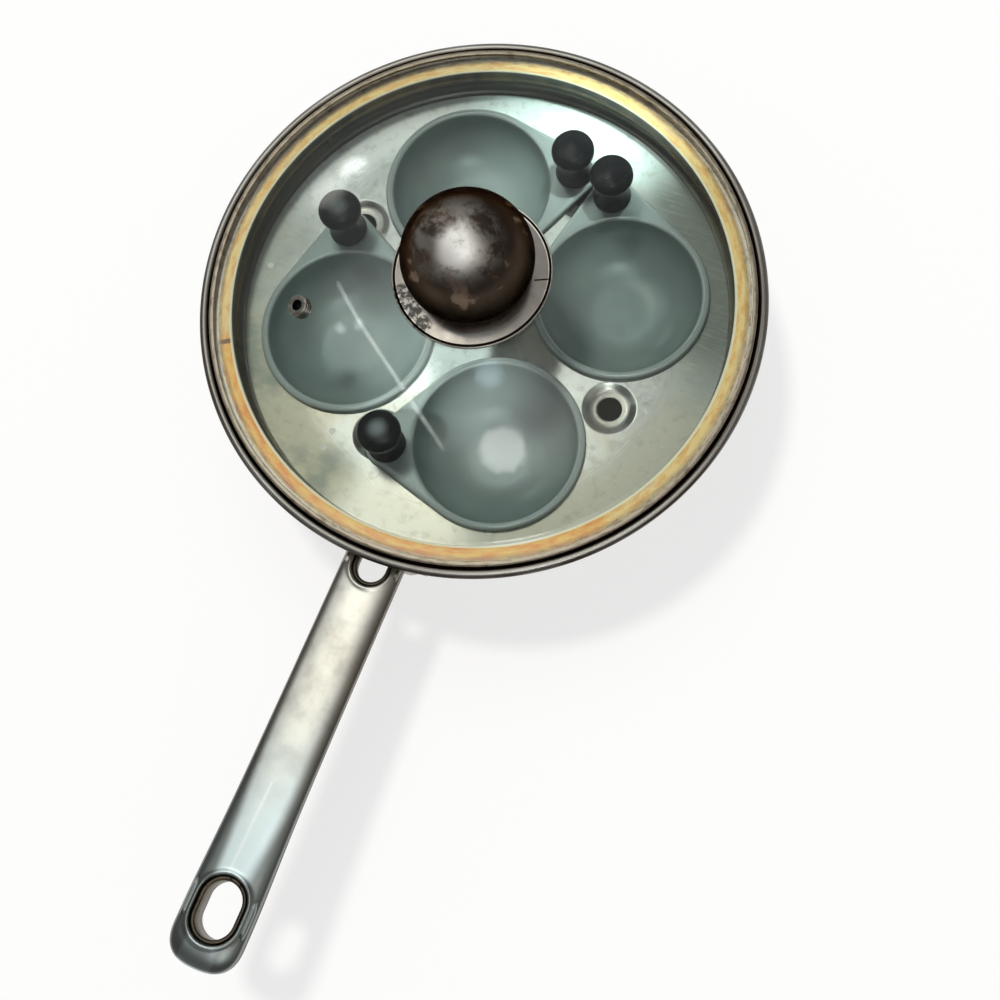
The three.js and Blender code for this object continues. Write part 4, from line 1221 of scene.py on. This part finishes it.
def eyelet_outline():
    top = seat_gap
    bottom = -glass_thickness - seat_gap
    return softened([
        (vent_bore_radius, bottom - vent_flange_thickness, 0.3 * mm),
        (vent_flange_radius, bottom - vent_flange_thickness, 0.4 * mm),
        (vent_flange_radius, bottom, 0.2 * mm),
        (vent_barrel_radius, bottom, 0),
        (vent_barrel_radius, top, 0),
        (vent_flange_radius, top, 0.2 * mm),
        (vent_flange_radius - 0.2 * mm, top + vent_flange_thickness, 0.7 * mm),
        (vent_bore_radius, top + vent_flange_thickness, 0.6 * mm),
    ], closed=True)


def band_outline():
    hook_top = band_high.z
    flange_under = band_flange_top - band_sheet
    skirt_outer = band_skirt_radius + band_sheet
    inner_edge = band_radius - band_sheet
    return softened([
        (band_skirt_radius, band_low.z, 0.15 * mm),
        (skirt_outer, band_low.z, 0.15 * mm),
        (skirt_outer, flange_under, 0.2 * mm),
        (band_radius, flange_under, 0.7 * mm),
        (band_radius, hook_top, 0.9 * mm),
        (band_hook_radius, hook_top, 0.25 * mm),
        (band_hook_radius, hook_top - band_sheet, 0.15 * mm),
        (inner_edge, hook_top - band_sheet, 0.2 * mm),
        (inner_edge, band_flange_top, 0.2 * mm),
        (band_skirt_radius, band_flange_top, 0.9 * mm),
    ], closed=True)


def plate_outline():
    rim = dome_height(plate_radius) + 0.8 * mm
    middle = max(plate_low.z, dome_height(0) + 1.4 * mm)
    lip_top = rim + plate_sheet + plate_lip
    return softened([
        (plate_bore, middle, 0),
        (plate_flat_radius, middle, 3 * mm),
        (plate_radius - plate_lip, rim, 0.6 * mm),
        (plate_radius, rim, 0.3 * mm),
        (plate_radius, lip_top, 0.4 * mm),
        (plate_radius - plate_lip, lip_top, 0.4 * mm),
        (plate_radius - 2 * plate_lip, rim + plate_sheet, 0.5 * mm),
        (plate_flat_radius, middle + plate_sheet, 3 * mm),
        (plate_bore, middle + plate_sheet, 0),
    ], closed=True)


def ball_outline():
    centre = ball_high.z - ball_radius
    foot = ball_low.z
    bore = insert_radius + seat_gap
    bore_top = foot + insert_length + seat_gap
    low_angle = -math.degrees(math.asin((centre - foot) * ball_neck_share / ball_radius))
    curve = arc(0, centre, ball_radius, low_angle, 90, 48)
    curve[0] = (*curve[0][:2], 1.5 * mm)
    curve[-1] = (0, ball_high.z, 0)
    return softened([
        (0, bore_top, 0),
        (bore, bore_top, 0),
        (bore, foot, 0.2 * mm),
        (ball_foot_radius, foot, 0.6 * mm),
        *curve,
    ])


# Name, outline, sides, whether it closes, place, CAD node, slot and material
for name, outline, sides, closed, place, *looks in [
    ("lid_dome", glass_outline(), round_sides, True, None, "lid_glass", "lid_glass", clear_glass()),
    ("lid_edge_band", band_outline(), round_sides, True, None, "lid_band", "satin_steel", band_steel()),
    ("lid_vent", eyelet_outline(), small_sides, True, vent_place(), "vent_eyelet", "mirror_steel",
        eyelet_steel()),
    ("lid_knob_plate", plate_outline(), ball_sides, True, None, "knob_plate", "mirror_steel",
        plate_steel()),
    ("lid_knob_ball", ball_outline(), ball_sides, False, None, "knob_ball", "ball_plastic",
        ball_finish()),
]:
    new_piece(name, turned(outline, sides, closed, place), "lid", *looks)


def cut_vent_hole(glass_piece):
    """Cuts the eyelet's hole in the glass"""
    radius = vent_barrel_radius + 0.3 * mm
    over = 2 * mm
    reach = glass_thickness + over
    drill = [(0, -reach), (radius, -reach), (radius, over), (0, over)]
    cutter = mesh_object("vent_drill", turned(drill, small_sides, place=vent_place()))
    modifier = glass_piece.modifiers.new("vent", "BOOLEAN")
    modifier.operation = "DIFFERENCE"
    modifier.object = cutter
    bpy.context.view_layer.update()
    graph = bpy.context.evaluated_depsgraph_get()
    cut = bpy.data.meshes.new_from_object(glass_piece.evaluated_get(graph))
    glass_piece.modifiers.clear()
    glass_piece.data = cut
    cut.set_sharp_from_angle(angle=math.radians(sharp_angle))
    bpy.data.objects.remove(cutter)


cut_vent_hole(bpy.data.objects["lid_dome"])


# CAD nodes that stay: small hidden pieces with a softened edge and a finish of their own

def dress(node, material, bevel):
    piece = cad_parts[node]
    if not piece.data.materials:
        piece.data.materials.append(material)
    for slot in piece.material_slots:
        slot.link = "OBJECT"
        slot.material = material
    modifier = piece.modifiers.new("edge", "BEVEL")
    modifier.width = bevel
    modifier.segments = 2
    modifier.limit_method = "ANGLE"
    modifier.angle_limit = math.radians(40)


small_edge = 0.15 * mm
bracket_edge = 0.3 * mm
screws, inserts = [[f"cup_{name}_{kind}" for name in cup_names] for kind in ("screw", "insert")]
# Nodes, and their finish as for small_finish
for nodes, *finish in [
    (["handle_bracket", "rivet_left", "rivet_right"],
        "bracket_steel", ((182, 178, 170), (128, 112, 92)), 60, 1, 0.34, (0.28, 0.42), 900, 0.03, 0.4,
        0.4),
    (["knob_seal", "under_seal"],
        "rubber", ((224, 221, 212), (196, 186, 164)), 260, 0, 0.6, (0.5, 0.7), 260, 0.08, 0.3, 0.4),
    (["under_washer", "knob_screw", *screws],
        "small_steel", ((190, 190, 186), (150, 148, 142)), 700, 1, 0.3, (0.24, 0.38), 700, 0.03, 0.3),
    (["base_core"],
        "aluminium", ((176, 178, 180), (150, 150, 150)), 700, 1, 0.46, (0.4, 0.54), 700, 0.03, 0.3),
    (["knob_insert", *inserts],
        "brass", ((196, 160, 92), (150, 116, 62)), 700, 1, 0.34, (0.28, 0.42), 700, 0.03, 0.3),
]:
    material = small_finish(*finish)
    for node in nodes:
        dress(node, material, bracket_edge if node == "handle_bracket" else small_edge)


# Stage: floor, surroundings that only gloss sees, lamps, world

def staged(name, shape, nodes):
    piece = mesh_object(name, shape)
    piece.data.materials.append(nodes.owner)
    return piece


floor_reach = 6
floor_grey = 0.34
floor_glow = 0.7


def floor_nodes():
    """Matt, and bright by itself where the camera sees it straight, mirrored or through glass"""
    nodes = Nodes(bpy.data.materials.new("floor_white"), "ShaderNodeOutputMaterial")
    matt = nodes.add("ShaderNodeBsdfDiffuse", {"Color": (*[floor_grey] * 3, 1)})
    seen = nodes.light_path("Is Camera Ray") | nodes.light_path("Is Glossy Ray")
    seen = seen | nodes.light_path("Is Transmission Ray")
    glow = nodes.add("ShaderNodeEmission", {"Strength": seen * floor_glow})
    nodes.feed(nodes.output, nodes.add("ShaderNodeAddShader", {0: matt, 1: glow}))
    return nodes


floor_corners = [(-1, -1), (1, -1), (1, 1), (-1, 1)]
floor_vertices = [(x * floor_reach, y * floor_reach, 0) for x, y in floor_corners]
staged("floor", (floor_vertices, [(0, 1, 2, 3)]), floor_nodes())


def toward(azimuth, elevation):
    """Direction from azimuth, counter-clockwise from +X, and elevation, in degrees"""
    rise = math.radians(elevation)
    return polar(math.cos(rise), math.radians(azimuth), math.sin(rise))


# What gloss sees of the room: level by elevation, then soft lights in it. Each light has its
# azimuth, elevation, radius to where it starts to fade and to where it ends, level and colour
diffuse_level = 0.42
room_levels = [(0, 0.16), (24, 0.18), (40, 0.12), (56, 0.08), (74, 0.14), (90, 0.2)]
room_lights = [
    (130, 62, 16, 42, 0.24, (1, 1, 1)),
    (168, 62, 8, 22, 0.5, (0.96, 1, 0.99)),
    (146, 75.5, 0.5, 12, 1.2, (1, 0.97, 0.86)),
    (113, 70.5, 0.5, 4.5, 1.2, (1, 1, 0.95)),
    (134, 68, 0.5, 5, 2.0, (0.94, 1, 0.98)),
    (130, 72.7, 0.5, 3.5, 1.6, (1, 1, 0.98)),
    (117, 59, 3, 8, 1.2, (0.8, 0.98, 0.95)),
    (-66, 70.2, 4, 6.4, 3.4, (0.98, 1, 0.98)),
    (-59, 76, 2, 20, 1.0, (1, 1, 0.98)),
    (-177, 50.5, 0.2, 1.6, 2.6, (0.9, 1, 0.98)),
    (-179.5, 54.5, 0.2, 1.6, 2.6, (0.9, 1, 0.98)),
    (-10, 55, 5, 25, 0.3, (1, 0.96, 0.86)),
    (-115, 87, 0.3, 4.2, 2.6, (0.66, 0.86, 1)),
    (144, 23.5, 0.1, 3.4, 5, (0.95, 1, 0.98)),
    (151, 25, 1, 5, 1.6, (1, 0.97, 0.9)),
    (10, 8, 1, 4, 3, (1, 0.97, 0.9)),
]
room_radius = 2.4
room_edge_scale = 26  # of the noise that makes the edges of the lights uneven
room_edge_shift = 0.05


def room_nodes():
    nodes = Nodes(bpy.data.materials.new("room"), "ShaderNodeOutputMaterial")
    straight = nodes.vector("NORMALIZE", nodes.add("ShaderNodeTexCoord", {}, "Object"))
    noise = {"Vector": straight, "Scale": room_edge_scale, "Detail": 5}
    shift = nodes.add("ShaderNodeTexNoise", noise, "Color")
    shift = nodes.vector("SCALE", nodes.vector("SUBTRACT", shift, (0.5, 0.5, 0.5)), room_edge_shift)
    direction = nodes.vector("NORMALIZE", nodes.vector("ADD", straight, shift))
    height = nodes.add("ShaderNodeSeparateXYZ", {0: direction}, 2)
    total = nodes.add("ShaderNodeValToRGB", {0: height})
    stops = total.socket.node.color_ramp.elements
    for i, (elevation, level) in enumerate(room_levels):
        position = math.sin(math.radians(elevation))
        stop = stops[i] if i < 2 else stops.new(position)
        stop.position = position
        stop.color = (level, level, level, 1)
    for azimuth, elevation, inner, outer, level, colour in room_lights:
        near = nodes.vector("DOT_PRODUCT", direction, toward(azimuth, elevation), 1)
        fade = near.step(math.cos(math.radians(outer)), math.cos(math.radians(inner)))
        glow = nodes.vector("SCALE", tuple(level * channel for channel in colour), fade)
        total = nodes.vector("ADD", total, glow)
    # What a matt surface sees of the room through glass is as plain as the world
    depth = nodes.light_path("Diffuse Depth")
    plain = (diffuse_level, diffuse_level, diffuse_level, 1)
    total = nodes.add("ShaderNodeMix", {0: depth, 6: total, 7: plain}, 2, data_type="RGBA")
    nodes.feed(nodes.output, nodes.add("ShaderNodeEmission", {"Color": total}))
    return nodes


room = staged("room", turned(arc(0, 0, room_radius, 0.1, 90, 24), 64), room_nodes())
room.visible_camera = False
room.visible_diffuse = False
room.visible_shadow = False


def lamp(kind, name, target, azimuth, elevation, distance, power, colour, **settings):
    """A lamp that gloss doesn't see, because the room already holds what it should see"""
    light = bpy.data.lights.new(name, kind)
    light.energy = power
    light.color = colour
    for setting, value in settings.items():
        setattr(light, setting, value)
    holder = in_scene(name, light)
    direction = toward(azimuth, elevation)
    holder.location = Vector(target) + direction * distance
    holder.rotation_euler = direction.to_track_quat("Z", "Y").to_euler()
    holder.visible_glossy = False
    holder.visible_transmission = False


lamp("SUN", "key", (0, 0, 0), 149, 69, 0, 1.45, (1, 0.97, 0.92), angle=math.radians(8))
lamp("AREA", "fill", (0, 0, 70 * mm), 117, 60, 1.4, 2.5, (0.92, 0.99, 1), size=0.6)
# Narrow soft lamps, each of which brightens one place on the tray
for name, x, y, azimuth, elevation, width, power, colour in [
    ("back right", 12, 78, 60, 76, 6, 50, (0.9, 1, 0.98)),
    ("middle", -8, -21, -118, 62, 3, 110, (0.95, 1, 0.99)),
]:
    lamp(
        "SPOT", name, (x * mm, y * mm, tray_floor), azimuth, elevation, 0.6, power, colour,
        spot_size=math.radians(width), spot_blend=1, shadow_soft_size=30 * mm,
    )

world = bpy.data.worlds.new("studio")
world_nodes = Nodes(world, "ShaderNodeOutputWorld")
world_level = world_nodes.light_path("Is Diffuse Ray").step(0, 1, 1, diffuse_level)
background = world_nodes.add("ShaderNodeBackground", {"Strength": world_level})
world_nodes.feed(world_nodes.output, background)
bpy.context.scene.world = world
bpy.context.scene.view_settings.view_transform = "Standard"

# Camera, where the photograph was taken from
camera_place = Vector((0.12504, -0.16674, 0.53579))
camera_right = Vector((0.92316, 0.37257, -0.09468))
camera_up = Vector((-0.34072, 0.90708, 0.24723))
camera_back = camera_right.cross(camera_up)
focal_pixels = 1400
frame_pixels = 1000
sensor = 36
lens = bpy.data.cameras.new("camera")
lens.sensor_width = sensor
lens.lens = sensor * focal_pixels / frame_pixels
lens.clip_start = 0.01
camera = in_scene("camera", lens)
camera_turn = Matrix((camera_right, camera_up, camera_back)).transposed()
camera.matrix_world = Matrix.Translation(camera_place) @ camera_turn.to_4x4()
bpy.context.scene.camera = camera
